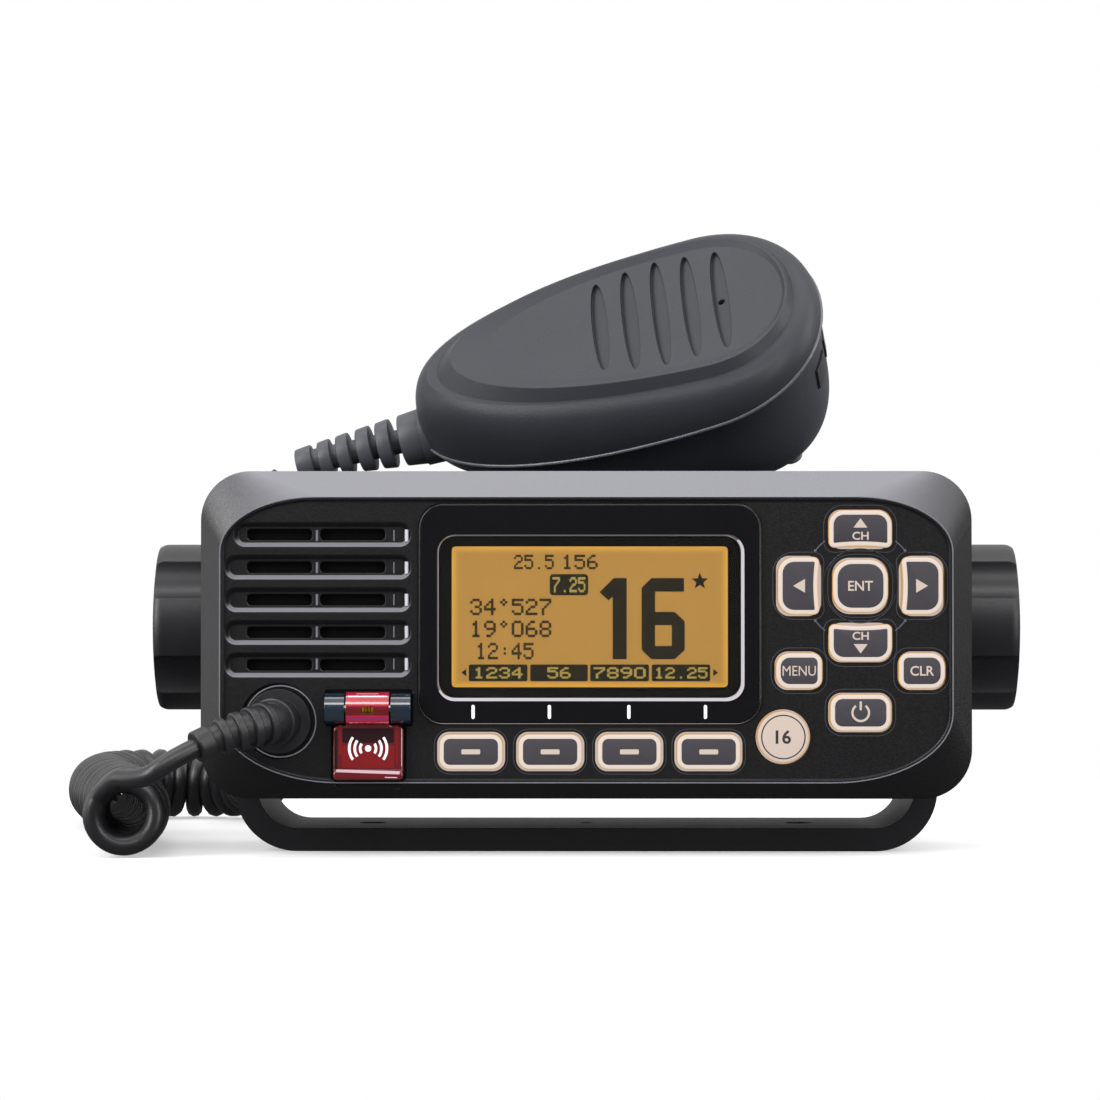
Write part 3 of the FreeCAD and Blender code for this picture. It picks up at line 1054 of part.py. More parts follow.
def cords():
    """The microphone's curly cord: a plain lead, the curled length as one tube, a plain tail."""
    lead = [boot_end(), Vector(-82.7, -62.8, 20.2), Vector(-87.5, -63.2, 16.2), Vector(-91.3, -60.6, 11.9),
            Vector(-93.3, -55.3, 9.1), Vector(-93.3, -49, 8.7)]
    node("cord_lead", feature("lead", tube(lead, mm("cord_size"))))
    coil = [Vector(-93.3, -49, 8.7), Vector(-94.6, -22, 8.5), Vector(-98.6, 7, 8.6), Vector(-104.9, 37, 8.5),
            Vector(-110.4, 64, 8.6), Vector(-114, 86.5, 8.5), Vector(-113, 106.5, 8.6), Vector(-103.4, 117.2, 8.5),
            Vector(-89, 117.4, 8.6), Vector(-79.2, 107, 9), Vector(-77.9, 92.5, 12.6), Vector(-78.5, 77, 22.5),
            Vector(-78.9, 63.5, 35.5), Vector(-78.2, 51.5, 51), Vector(-76.2, 42.5, 68)]
    node("cord_coil", feature("coil", tube(coil, mm("coil_size"))))
    tail_start = Vector(mm("mic_middle") - mm("mic_tail") - mm("mic_boot_length") - mm("tail_gap"), 0, -mm("mic_boot_drop"))
    tail = [mic_placement().multVec(tail_start), Vector(-68.6, 37, 80.3), Vector(-73.6, 38.6, 76.4), Vector(-76.2, 42.5, 68)]
    node("cord_tail", feature("tail", tube(tail, mm("cord_size"))))


# ---------------------------------------------------------------- microphone

def seam_height(x):
    """The seam plane, seen from the face plane at z 0."""
    return -mm("mic_face") + mm("mic_seam_slope") * x


def egg(inset, lift, flat=1.0, lean=0.0):
    """The egg outline: insets the seam's outline and lifts it off the seam plane, which it may lean against.

    The inset is one number, or one each for the sides, the top end and the cord end."""
    middle = mm("mic_middle")
    side, ahead, behind = inset if isinstance(inset, tuple) else (inset, inset, inset)
    half, top, tail = mm("mic_half") - side, mm("mic_top") - ahead, mm("mic_tail") - behind

    def spot(x, y):
        return Vector(x, y, seam_height(x) * flat + lift - lean * x)
    return Part.Wire([
        conic(spot(middle + top, 0), spot(middle + top, half), spot(middle, half), 0.76),
        conic(spot(middle, half), spot(middle - tail, half), spot(middle - tail, 0)),
        conic(spot(middle - tail, 0), spot(middle - tail, -half), spot(middle, -half)),
        conic(spot(middle, -half), spot(middle + top, -half), spot(middle + top, 0), 0.76)])


def egg_loft(sections):
    return Part.makeLoft([egg(*section) for section in sections], True, False)


def block_at(x, y, z, length, width, height):
    """A block centred on a place of the microphone."""
    return Part.makeBox(length, width, height, Vector(x - length / 2, y - width / 2, z - height / 2))


LEAF_FULLNESS = 0.85


def leaf(x, half_w, half_l, z):
    """A slot's outline: a long oval, fuller than an ellipse."""
    ends = [Vector(x + half_w, 0, z), Vector(x, half_l, z), Vector(x - half_w, 0, z), Vector(x, -half_l, z)]
    corners = [Vector(x + half_w, half_l, z), Vector(x - half_w, half_l, z), Vector(x - half_w, -half_l, z),
               Vector(x + half_w, -half_l, z)]
    return Part.Wire([conic(ends[j], corners[j], ends[(j + 1) % 4], LEAF_FULLNESS) for j in range(4)])


def mic_front_shell():
    """Rounded shoulder, a crease, a bevelled band with a ridge, a dished face with five slots, hollow inside."""
    shoulder, wall, band, ridge = mm("mic_shoulder"), mm("mic_wall"), mm("mic_band"), mm("mic_ridge")
    outside = egg_loft([(0, 0), (0.3, 0, 0.7), (1.8, 0, 0.35), (shoulder, -0.9, 0.08)])
    tail = shoulder + mm("mic_band_tail") + 1.4
    foot = (shoulder - 0.4, shoulder - 0.8, shoulder + 1)
    crest = (shoulder + band, shoulder + band * 0.4, tail)
    plate = egg_loft([(foot, -1.9, 0.08), (crest, ridge, 0)])
    edge = tuple(inset + 0.5 for inset in crest)
    floor = (edge[0] + mm("mic_dish"), edge[1] + mm("mic_dish") * 0.3, edge[2] + mm("mic_dish_tail"))
    dish = egg_loft([(edge, ridge, 0), (floor, 0, 0)])
    above = egg_loft([(edge, ridge + 2, 0), (edge, ridge, 0)])
    inside = egg_loft([(wall, -1), (wall, -0.6, 0.7), (wall + 3, -0.9, 0.35), (shoulder + wall + 1, -2.4, 0.08)])
    shell = outside.fuse(plate).removeSplitter().cut([dish.fuse(above), inside, boot_cone()])
    half_l, half_w = mm("mic_slot_length") / 2, mm("mic_slot_width") / 2
    for i in range(5):
        x = (i - 2) * mm("mic_slot_pitch")
        reach = half_l * (0.83, 0.94, 1, 0.97, 0.93)[i]
        block = Part.Face(leaf(x, half_w, reach, 1)).extrude(Vector(0, 0, -1 - mm("mic_slot_depth")))
        under = [Vector(x - half_w - 1, -reach, -mm("mic_slot_depth")), Vector(x - half_w, -reach, -mm("mic_slot_depth")),
                 Vector(x + half_w, -reach, -mm("mic_slot_shallow")), Vector(x + half_w + 1, -reach, -mm("mic_slot_shallow")),
                 Vector(x + half_w + 1, -reach, -4), Vector(x - half_w - 1, -reach, -4)]
        wedge = Part.Face(Part.makePolygon(under + under[:1])).extrude(Vector(0, 2 * reach, 0))
        shell = shell.cut(block.cut(wedge))
    hole = Part.makeCylinder(0.8, 6, Vector(2 * mm("mic_slot_pitch"), 0, -5))
    node("mic_front_shell", feature("front_shell", shell.cut(hole), mic_placement()))


EDGE_LEAN = 0.55                 # the sides' edges follow this share of the back's slope


def back_height(x):
    """The flat back of the rear shell."""
    return -mm("mic_back") - mm("mic_back_slope") * x


def stud_seat():
    """The boss under the hanger stud stands proud of the sloping back all round."""
    return back_height(0) - mm("mic_back_slope") * mm("stud_size") / 2 - 0.4


MIC_KEYS = [("down", -1), ("power", 0), ("up", 1)]


def rear_form(shift):
    """The outside of the deep half, or the same form a little larger or smaller."""
    gap, back, slope, taper = mm("seam_gap"), mm("mic_back"), mm("mic_back_slope"), mm("mic_side_taper")
    return egg_loft([(shift, -gap), (taper + shift, -gap - mm("mic_side_depth"), 1, EDGE_LEAN * slope),
                     (mm("mic_edge_inset") + shift, mm("mic_edge_rise") - back, 0, EDGE_LEAN * slope),
                     (mm("mic_back_inset") + shift, -back, 0, slope)])


def ptt_block(grow, travel=0):
    """The space of the talk button in the side, grown by a gap, and by its travel inwards."""
    return block_at(mm("ptt_place"), mm("mic_half"), -mm("ptt_drop"), mm("ptt_length") + 2 * grow, 24 + 2 * travel,
                    mm("ptt_width") + 2 * grow)


def mic_key_block(step, grow):
    """The space of a key in the top end, grown by a gap."""
    return block_at(mm("mic_middle") + mm("mic_top"), step * mm("mic_key_pitch"), -mm("mic_key_drop"), 16,
                    mm("mic_key_width") + 2 * grow, mm("mic_key_height") + 2 * grow)


def screw_places():
    across = mm("mic_screw_across")
    return [(-28, 0.6 * across), (-28, -0.6 * across), (20, across), (20, -across)]


def mic_rear_shell():
    """The deep half: tapered sides, rounded back, hollow, open for the talk button and keys."""
    gap, back, slope, wall = mm("seam_gap"), mm("mic_back"), mm("mic_back_slope"), mm("mic_wall")
    taper, deep = mm("mic_side_taper"), -gap - mm("mic_side_depth")
    inside = egg_loft([(wall, 1 - gap), (wall + taper, deep, 1, EDGE_LEAN * slope),
                       (wall + mm("mic_edge_inset"), mm("mic_edge_rise") + wall / 2 - back, 0, EDGE_LEAN * slope),
                       (wall + mm("mic_back_inset"), wall - back, 0, slope)])
    shell = rear_form(0).cut(inside)
    boss = Part.makeCylinder(mm("stud_size") / 2 + 1, 3.5, Vector(0, 0, stud_seat()))
    shell = shell.fuse(boss)
    shell = shell.cut(ptt_block(0.4, mm("ptt_travel") + 0.4))
    for name, step in MIC_KEYS:
        shell = shell.cut(mic_key_block(step, 0.3))
    for x, y in screw_places():
        shell = shell.cut(Part.makeCylinder(2.6, 2.3, Vector(x, y, back_height(x) - 0.6)))
    shell = shell.cut(boot_cone())
    node("mic_rear_shell", feature("rear_shell", shell, mic_placement()))


def mic_controls():
    """Talk button and keys, each a piece of the egg's wall standing proud, and the switch behind."""
    proud = mm("ptt_proud")
    wall = rear_form(-proud).cut(rear_form(mm("ptt_thickness") - proud))
    node("ptt_button", feature("talk_button", wall.common(ptt_block(0)), mic_placement()))
    wall = rear_form(-mm("mic_key_proud")).cut(rear_form(mm("mic_wall")))
    for name, step in MIC_KEYS:
        node(f"key_mic_{name}", feature(f"microphone_key_{name}", wall.common(mic_key_block(step, 0)), mic_placement()))


def mic_inside():
    """Board, capsule under the fifth slot, talk switch, screws and hanger stud."""
    board_z = -mm("ptt_drop") + 2
    board = block_at(1, -2, board_z, 50, 26, mm("board_thickness"))
    node("mic_board", feature("microphone_board", board, mic_placement()))
    capsule_x = 2 * mm("mic_slot_pitch")
    room = -board_z - mm("board_thickness") / 2 - 3.4
    capsule = Part.makeCylinder(mm("element_size") / 2, room, Vector(capsule_x, 0, -3.4 - room))
    node("mic_element", feature("capsule", capsule, mic_placement()))
    switch = block_at(mm("ptt_place") - 2, 12.4, board_z - mm("board_thickness") / 2 - 3, 10, 7, 6)
    node("ptt_switch", feature("talk_switch", switch, mic_placement()))
    heads = [Part.makeCylinder(2.5, 1.75, Vector(x, y, back_height(x) - 0.1)) for x, y in screw_places()]
    node("mic_screws", feature("screw_heads", Part.makeCompound(heads), mic_placement()))
    seat = stud_seat()
    neck = Part.makeCylinder(mm("stud_neck") / 2, mm("stud_height"), Vector(0, 0, seat), Vector(0, 0, -1))
    head = Part.makeCylinder(mm("stud_size") / 2, 2, Vector(0, 0, seat - mm("stud_height") + 2), Vector(0, 0, -1))
    node("mic_hanger_stud", feature("stud", neck.fuse(head).removeSplitter(), mic_placement()))


def mic_seam_gasket():
    gap = mm("seam_gap")
    ring = egg_loft([(0.45, -gap), (0.45, 0)]).cut([egg_loft([(2.1, -gap - 0.1), (2.1, 0.1)]), boot_cone()])
    node("mic_seam_gasket", feature("seam_gasket", ring, mic_placement()))


MIC_BOOT_RIBS = [(0.04, 0.2), (0.27, 0.37), (0.41, 0.53), (0.59, 0.69), (0.73, 0.83), (0.87, 1)]


def boot_cone():
    """The boot's outside, from inside the shell to the cord."""
    start = mm("mic_middle") - mm("mic_tail") + 4
    length = mm("mic_boot_length") + 4
    return Part.makeCone(mm("mic_boot_size") / 2, mm("boot_tip") / 2, length, Vector(start, 0, -mm("mic_boot_drop")),
                         Vector(-1, 0, 0))


def mic_boot():
    """A straight tapered boot along the microphone's axis: a slim core with ribs, a collar and a tip."""
    mouth = mm("mic_middle") - mm("mic_tail")
    length, inner = mm("mic_boot_length"), 4
    big, small = mm("mic_boot_size") / 2, mm("boot_tip") / 2

    def radius(along):
        return big + (small - big) * (along + inner) / (length + inner)
    profile = [(-inner, 0), (-inner, radius(-inner))]
    for start, end in MIC_BOOT_RIBS:
        start, end = start * length, end * length
        profile += [(start, mm("cord_size") / 2 + 0.6), (start, radius(start) - 0.3), (start + 0.3, radius(start)),
                    (end - 0.3, radius(end)), (end, radius(end) - 0.3), (end, mm("cord_size") / 2 + 0.6)]
    profile.insert(2, (0.2, radius(0.2)))
    profile.insert(3, (0.2, mm("cord_size") / 2 + 0.6))
    profile[-1] = (length, 0)
    corners = [Vector(mouth - along, 0, r - mm("mic_boot_drop")) for along, r in profile]
    outline = Part.Face(Part.makePolygon(corners + corners[:1]))
    body = outline.revolve(Vector(mouth, 0, -mm("mic_boot_drop")), Vector(1, 0, 0), 360)
    node("mic_boot", feature("microphone_boot", body, mic_placement()))


def finish():
    """Checks every object, then writes each sub-part."""
    document.recompute()
    for thing in document.Objects:
        bad = [state for state in thing.State if state in ("Invalid", "Error")]
        if bad:
            raise RuntimeError(f"{thing.Name} is {bad}")
    for name, thing in NODES.items():
        if thing.Shape.isNull() or not thing.Shape.isValid():
            raise RuntimeError(f"{name} has no valid shape")
    os.makedirs("parts", exist_ok=True)
    for name, thing in NODES.items():
        thing.Shape.exportStep(f"parts/{name}.step")
        print(f"{name}: {len(thing.Shape.Solids)} solids, {thing.Shape.Volume:.0f} mm3")


mounting_bracket()
friction_washers()
knobs()
front_panel()
keys()
display()
key_mat_and_board()
speaker()
distress_cover()
hinge_parts()
panel_gasket()
chassis()
chassis_screws()
electronics()
back_fittings()
panel_boot()
mic_front_shell()
mic_rear_shell()
mic_controls()
mic_inside()
mic_seam_gasket()
mic_boot()
cords()
finish()
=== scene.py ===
import bmesh
import bpy
import json
import math
from mathutils import Matrix, Vector

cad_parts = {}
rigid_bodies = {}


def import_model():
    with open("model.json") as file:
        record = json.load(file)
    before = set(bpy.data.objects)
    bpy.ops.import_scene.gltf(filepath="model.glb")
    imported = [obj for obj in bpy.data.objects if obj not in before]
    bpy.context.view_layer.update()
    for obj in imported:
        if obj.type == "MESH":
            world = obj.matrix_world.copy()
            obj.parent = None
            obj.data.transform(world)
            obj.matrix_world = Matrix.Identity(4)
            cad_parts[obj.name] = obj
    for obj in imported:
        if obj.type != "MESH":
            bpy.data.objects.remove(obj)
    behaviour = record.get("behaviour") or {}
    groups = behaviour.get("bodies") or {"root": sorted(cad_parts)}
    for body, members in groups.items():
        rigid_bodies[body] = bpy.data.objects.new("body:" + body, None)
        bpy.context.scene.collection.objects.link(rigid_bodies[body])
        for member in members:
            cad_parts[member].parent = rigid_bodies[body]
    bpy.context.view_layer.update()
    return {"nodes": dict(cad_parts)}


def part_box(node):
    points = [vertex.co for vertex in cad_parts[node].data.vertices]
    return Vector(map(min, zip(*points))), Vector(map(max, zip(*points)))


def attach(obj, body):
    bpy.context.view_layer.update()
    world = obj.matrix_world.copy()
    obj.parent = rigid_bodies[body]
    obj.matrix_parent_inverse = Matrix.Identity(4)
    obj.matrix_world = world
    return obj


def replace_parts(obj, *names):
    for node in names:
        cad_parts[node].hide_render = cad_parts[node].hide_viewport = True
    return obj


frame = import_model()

# The finish of a fixed-mount marine VHF radio with its fist microphone. X runs to the right, Y to
# the back and Z up, from the middle of the bracket base's underside. Named sizes and outlines are
# in millimetres, and MM turns them into the scene's metres.

MM = 0.001
NODES = frame["nodes"]


# ---------------------------------------------------------------- places

def centre_of(node):
    """The middle of a CAD node, across and up, in millimetres."""
    low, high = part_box(node)
    return (low.x + high.x) / 2 / MM, (low.z + high.z) / 2 / MM


PANEL_LOW, PANEL_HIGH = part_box("front_panel")
FACE_DEPTH = 0.6                 # the face lies this far inside the rim
FACE = PANEL_LOW.y + FACE_DEPTH * MM
BEZEL_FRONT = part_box("display_bezel")[0].y
WINDOW = centre_of("display_glass")
SCREEN = (55.9, 28.5)            # the lit field, across and up
PAD = centre_of("key_enter")     # the middle of the direction pad
BOOT_SEAT = (-61.8, 27.6)        # the cord boot's seat in the face
SLOTS = [52.2 + 6.5 * (2 - i) for i in range(5)]    # heights of the grille's slots
SLOT_END = -36.3                 # the slots' right ends


# ---------------------------------------------------------------- building a material

def linear(code):
    """An sRGB hex colour as linear red, green, blue and alpha."""
    parts = [int(code[i:i + 2], 16) / 255 for i in (1, 3, 5)]
    return [p / 12.92 if p <= 0.04045 else ((p + 0.055) / 1.055) ** 2.4 for p in parts] + [1.0]


def add(owner, kind, inputs=None, **settings):
    """Adds a node with its settings, and sets or links its inputs by name or number."""
    tree = owner.node_tree
    node = tree.nodes.new("ShaderNode" + kind)
    for name, value in settings.items():
        setattr(node, name, value)
    for name, value in (inputs or {}).items():
        socket = node.inputs[name]
        if isinstance(value, bpy.types.NodeSocket):
            tree.links.new(value, socket)
        else:
            socket.default_value = value
    return node


def empty(owners, name):
    """A new material or world that has no nodes yet."""
    owner = owners.new(name)
    owner.use_nodes = True
    owner.node_tree.nodes.clear()
    return owner


def surfaced(material, **sockets):
    """The material, ended in a Principled shader whose sockets are set or linked by name."""
    shader = add(material, "BsdfPrincipled", {key.replace("_", " "): value for key, value in sockets.items()})
    add(material, "OutputMaterial", {"Surface": shader.outputs[0]})
    return material


def even(name, **sockets):
    """A material with one colour and one gloss all over."""
    return surfaced(empty(bpy.data.materials, name), **sockets)


CLOUD = 18                       # width of the pale and dark drifts in a moulding's colour
GLOSS_SPREAD = 0.05              # how far the grain moves a moulding's roughness either way
# how far up a slope faces, and how much of the painted sheen it takes
SHEEN_BY_SLOPE = ((0, 0), (0.12, 0), (0.33, 0.26), (0.6, 1), (0.84, 1), (0.93, 0.2), (1, 0.12))


def moulded(name, dark, light, roughness, grain=0.25, relief=0.02, specular=0.5, coat=0.0, edge=0.0,
            sheen=None):
    """A moulded plastic or rubber: cloudy colour, spark-eroded grain, uneven gloss and softened edges.

    Grain, relief and edge are sizes in millimetres. The mould's real grain is about 0.1 mm wide, and
    is drawn coarser so that it shows. A sheen is a paler colour painted where slopes face up: a painted
    highlight."""
    material = empty(bpy.data.materials, name)
    place = add(material, "TexCoord").outputs
    clouds = add(material, "TexNoise", {"Vector": place["Object"], "Scale": 1 / (CLOUD * MM),
                                        "Detail": 4.0})
    tone = add(material, "Mix", {"Factor": clouds.outputs[0], 6: linear(dark), 7: linear(light)},
               data_type="RGBA").outputs[2]
    # painted highlight: the sheen's colour is mixed in by how far the surface faces up
    if sheen:
        facing = add(material, "SeparateXYZ", {"Vector": place["Normal"]})
        slope = add(material, "FloatCurve", {"Value": facing.outputs["Z"]})
        slope.mapping.extend = "HORIZONTAL"
        points = slope.mapping.curves[0].points
        points[0].location, *between, points[1].location = SHEEN_BY_SLOPE
        for upward, share in between:
            points.new(upward, share)
        slope.mapping.update()
        tone = add(material, "Mix", {"Factor": slope.outputs[0], 6: tone, 7: linear(sheen)},
                   data_type="RGBA").outputs[2]
    specks = add(material, "TexNoise", {"Vector": place["Object"], "Scale": 1 / (grain * MM),
                                        "Detail": 2.0})
    bumps = {"Height": specks.outputs[0], "Strength": 0.6, "Distance": relief * MM}
    if edge:
        bumps["Normal"] = add(material, "Bevel", {"Radius": edge * MM}, samples=6).outputs[0]
    gloss = add(material, "MapRange", {"Value": specks.outputs[0], "From Min": 0.3, "From Max": 0.7,
                                       "To Min": roughness - GLOSS_SPREAD,
                                       "To Max": roughness + GLOSS_SPREAD})
    return surfaced(material, Base_Color=tone, Roughness=gloss.outputs[0],
                    Normal=add(material, "Bump", bumps).outputs[0], Specular_IOR_Level=specular,
                    Coat_Weight=coat, Coat_Roughness=0.12)


def lit(name, code, glow, base, roughness=0.45):
    """A translucent plastic with light behind it; the base is its colour under outside light alone."""
    return even(name, Base_Color=linear(base), Roughness=roughness, Emission_Color=linear(code),
                Emission_Strength=glow, Specular_IOR_Level=0.3)


BORDER_GLOW = 1.6                # width of the field's brighter border


def backlit_amber():
    """The display's field: a warm amber that is brighter along its border, where the lamps are."""
    material = empty(bpy.data.materials, "backlit_amber")
    place = add(material, "SeparateXYZ", {0: add(material, "TexCoord").outputs["Object"]})
    reaches = []
    for axis, middle, size in zip("XZ", WINDOW, SCREEN):
        away = add(material, "Math", {0: place.outputs[axis], 1: middle * MM}, operation="SUBTRACT")
        away = add(material, "Math", {0: away.outputs[0]}, operation="ABSOLUTE")
        reach = add(material, "Math", {0: size / 2 * MM, 1: away.outputs[0]}, operation="SUBTRACT")
        reaches.append(reach.outputs[0])
    inward = add(material, "Math", dict(enumerate(reaches)), operation="MINIMUM")
    fade = add(material, "MapRange", {"Value": inward.outputs[0], "From Max": BORDER_GLOW * MM},
               interpolation_type="SMOOTHSTEP").outputs[0]
    glow = add(material, "Mix", {"Factor": fade, 6: linear("#e2aa3c"), 7: linear("#b98a3c")},
               data_type="RGBA")
    base = add(material, "Mix", {"Factor": fade, 6: linear("#8a6420"), 7: linear("#6d5020")},
               data_type="RGBA")
    return surfaced(material, Base_Color=base.outputs[2], Emission_Color=glow.outputs[2],
                    Emission_Strength=0.52, Roughness=0.4, Specular_IOR_Level=0.2)


# ---------------------------------------------------------------- the materials

# panel of spark-eroded ABS: satin and nearly black; a pale sheen painted on its upward slopes is painted
# highlight
PANEL_ABS = moulded("spark_eroded_abs", "#070709", "#0c0c0e", 0.4, grain=0.42, relief=0.05, specular=0.34,
                    edge=0.35, sheen="#6c6c71")
# the same ABS in paler greys for thin beads along edges: painted highlights, darkest at the keys and palest
# at the slots
SEAT_HIGHLIGHT = moulded("painted_seat_highlight", "#2c2c31", "#36363b", 0.35)
EDGE_HIGHLIGHT = moulded("painted_edge_highlight", "#55555c", "#66666d", 0.35)
SLOT_HIGHLIGHT = moulded("painted_slot_highlight", "#9a9aa0", "#b0b0b6", 0.35)
# glass-filled nylon, moulded: slightly greyer and duller than the panel
GLASS_FILLED_NYLON = moulded("glass_filled_nylon", "#131316", "#19191c", 0.42, grain=0.4, relief=0.03,
                             specular=0.35, edge=0.4)
# microphone of fine-grained ABS: a dull bluish grey
MIC_ABS = moulded("microphone_abs", "#25262b", "#2d2e33", 0.43, grain=0.42, relief=0.07, specular=0.2,
                  edge=0.3)
# silicone rubber of the microphone's seal, extruded: a smooth and lighter bluish grey; the same grey is
# painted highlight on the direction pad's short edges
SEAM_RUBBER_AND_HIGHLIGHT = moulded("seam_rubber_and_highlight", "#3c3e46", "#484a53", 0.35)
# polyurethane cord jacket, extruded: satin black that shows a thin highlight along each curl
CORD_JACKET = moulded("polyurethane_jacket", "#0f0f11", "#161619", 0.38, grain=0.5, relief=0.01,
                      specular=0.45)
# rubber boots, moulded: a soft black, and a dull grey at the microphone
BOOT_RUBBER = moulded("moulded_rubber", "#121113", "#19181b", 0.45, grain=0.4, specular=0.4, edge=0.2)
MIC_BOOT_RUBBER = moulded("moulded_grey_rubber", "#37383d", "#404146", 0.45, grain=0.4, specular=0.3,
                          edge=0.2)
# gloss acrylic of the bezel: a clean black mirror; its window's chamfer is a flat strip of painted highlight
# and painted shade
BEZEL_ACRYLIC = moulded("gloss_acrylic", "#08080a", "#0c0c0e", 0.16, grain=2, relief=0.002, specular=0.3,
                        edge=0.15)
CHAMFER_HIGHLIGHT = even("painted_chamfer_highlight", Base_Color=linear("#a19ea4"), Metallic=0.1, Roughness=0.3)
CHAMFER_SHADE = even("painted_chamfer_shade", Base_Color=linear("#424248"), Metallic=0.1, Roughness=0.4)
# acoustic cloth and the black border printed under the glass: no gloss at all
MATT_BLACK = even("matt_black", Base_Color=linear("#060606"), Roughness=0.9, Specular_IOR_Level=0.05)
# translucent silicone of the keys, lit from behind: cream, and amber where the light spills out
LIT_SILICONE = lit("lit_silicone", "#f3e4da", 0.58, base="#6f645c")
AMBER_SILICONE = lit("amber_silicone", "#e6b266", 0.6, base="#5c3a1c")
# the keys' caps are printed dark, and their legends are left clear for the light
KEY_CAP = moulded("printed_key_cap", "#2e2b31", "#343137", 0.42, relief=0.006, specular=0.35)
KEY_PRINT = lit("key_print", "#ecdacd", 0.5, base="#6b6058")
# screen-printed inks: a warm black and an off-white, both flat
DARK_PRINT = moulded("dark_print", "#1d1a1a", "#231f1f", 0.5, relief=0.002)
PALE_PRINT = moulded("pale_print", "#d0cbd0", "#dcd7dc", 0.4, relief=0.002)
# clear red polycarbonate of the distress cover, moulded to a gloss: dark red; its paler reds are painted
# light, its near black over the well and magenta under the barrel painted shade, and its near white strips
# painted highlights
RED_POLYCARBONATE = moulded("red_polycarbonate", "#4a090e", "#560c12", 0.14, relief=0.003, specular=0.7,
                            coat=0.6, edge=0.2)
FIELD_LIGHT = moulded("red_polycarbonate_painted_light", "#5c0c10", "#6c1013", 0.14, relief=0.003, specular=0.6,
                   coat=0.4)
BARREL_LIGHT = moulded("red_polycarbonate_painted_barrel_light", "#8c0e22", "#9c1428", 0.12, relief=0.002, specular=0.8,
                     coat=0.8)
MAGENTA = moulded("shaded_red_polycarbonate", "#6c1848", "#7a1e54", 0.12, relief=0.002, specular=0.8,
                  coat=0.8)
WELL_SHADE = moulded("painted_well_shade", "#1b0a0e", "#240c10", 0.2, relief=0.003)
LIP_GLEAM = even("painted_gleam", Base_Color=linear("#e2bcc6"), Metallic=0.5, Roughness=0.25)
# gloss ABS of the hinge's caps: blue-black with sharp highlights
HINGE_ABS = moulded("gloss_abs", "#121a24", "#18212c", 0.12, relief=0.002, specular=0.7, coat=0.6, edge=0.2)
# die-cast aluminium under black paint: a dull, slightly rough skin
CAST_ALUMINIUM = moulded("painted_die_cast", "#101013", "#17171a", 0.55, grain=0.5, relief=0.04, edge=0.3)
# solder mask on the boards: satin green
CIRCUIT_BOARD = moulded("solder_mask", "#0d3a22", "#11452a", 0.35)
# pressed paper of the loudspeaker's cone: matt and nearly black
PAPER_CONE = moulded("paper_cone", "#1a1917", "#24221f", 0.8)
# metals: brass wire, bright stainless steel, and warmer nickel plate
BRASS = even("brass", Base_Color=linear("#e0aa2c"), Metallic=0.8, Roughness=0.3)
STEEL = even("stainless_steel", Base_Color=linear("#b8b8ba"), Metallic=1.0, Roughness=0.28)
NICKEL = even("nickel_plate", Base_Color=linear("#c9c4b8"), Metallic=1.0, Roughness=0.22)
# the display's glass: clear and polished; its low IOR stands for a thin pane, which hardly bends light
GLASS = even("display_glass", Base_Color=linear("#ffffff"), Roughness=0.0, Transmission_Weight=1.0, IOR=1.2)
# liquid crystal over the amber light: brown-black where it blocks it, paler in fine strokes
AMBER = backlit_amber()
DARK_PIXEL = even("dark_pixels", Base_Color=linear("#1d180a"), Roughness=0.6, Specular_IOR_Level=0.1)
FINE_PIXEL = even("fine_dark_pixels", Base_Color=linear("#33280f"), Roughness=0.6, Specular_IOR_Level=0.1)
AMBER_PIXEL = lit("amber_pixels", "#b9a044", 0.6, base="#4a3c18")

DRESSES = [
    (PANEL_ABS, "front_panel"),
    (HINGE_ABS, "hinge_caps"),
    (GLASS_FILLED_NYLON, "mounting_bracket knob_left knob_right friction_washers"),
    (BEZEL_ACRYLIC, "display_bezel"),
    (GLASS, "display_glass"),
    (AMBER, "lcd_module"),
    (MIC_ABS, "mic_front_shell mic_rear_shell"),
    (SEAM_RUBBER_AND_HIGHLIGHT, "mic_seam_gasket"),
    (BOOT_RUBBER, "panel_boot panel_gasket ptt_button key_mic_down key_mic_power key_mic_up cable_glands "
                  "power_module ptt_switch"),
    (MATT_BLACK, "grille_mesh"),
    (PAPER_CONE, "speaker_cone"),
    (RED_POLYCARBONATE, "distress_cover distress_button"),
    (CAST_ALUMINIUM, "chassis"),
    (STEEL, "knob_left_bolt knob_right_bolt board_screws speaker_frame hinge_pin chassis_screws shield_can "
            "ground_screw mic_screws"),
    (BRASS, "hinge_spring"),
    (NICKEL, "antenna_socket mic_element mic_hanger_stud"),
    (LIT_SILICONE, "key_mat"),
    (CIRCUIT_BOARD, "front_board main_board mic_board"),
]
for material, nodes in DRESSES:
    for node in nodes.split():
        NODES[node].data.materials.clear()
        NODES[node].data.materials.append(material)


# ---------------------------------------------------------------- outlines, across and up

def circle(x, z, radius, steps=48):
    return [(x + radius * math.cos(2 * math.pi * k / steps), z + radius * math.sin(2 * math.pi * k / steps))
            for k in range(steps)]


def arc(x, z, radius, start, end, steps=24):
    """Points on a circle between two angles in degrees, anticlockwise from the right."""
    angles = [math.radians(start + (end - start) * k / steps) for k in range(steps + 1)]
    return [(x + radius * math.cos(angle), z + radius * math.sin(angle)) for angle in angles]


def rounded(x, z, width, height, corners, steps=6):
    """A rectangle, anticlockwise from the upper right; its corners have one radius, or four."""
    radii = corners if isinstance(corners, tuple) else (corners,) * 4
    outline = []
    for i, (sx, sz, radius) in enumerate(zip((1, -1, -1, 1), (1, 1, -1, -1), radii)):
        outline += arc(x + sx * (width / 2 - radius), z + sz * (height / 2 - radius), radius,
                       90 * i, 90 * i + 90, steps)
    return outline


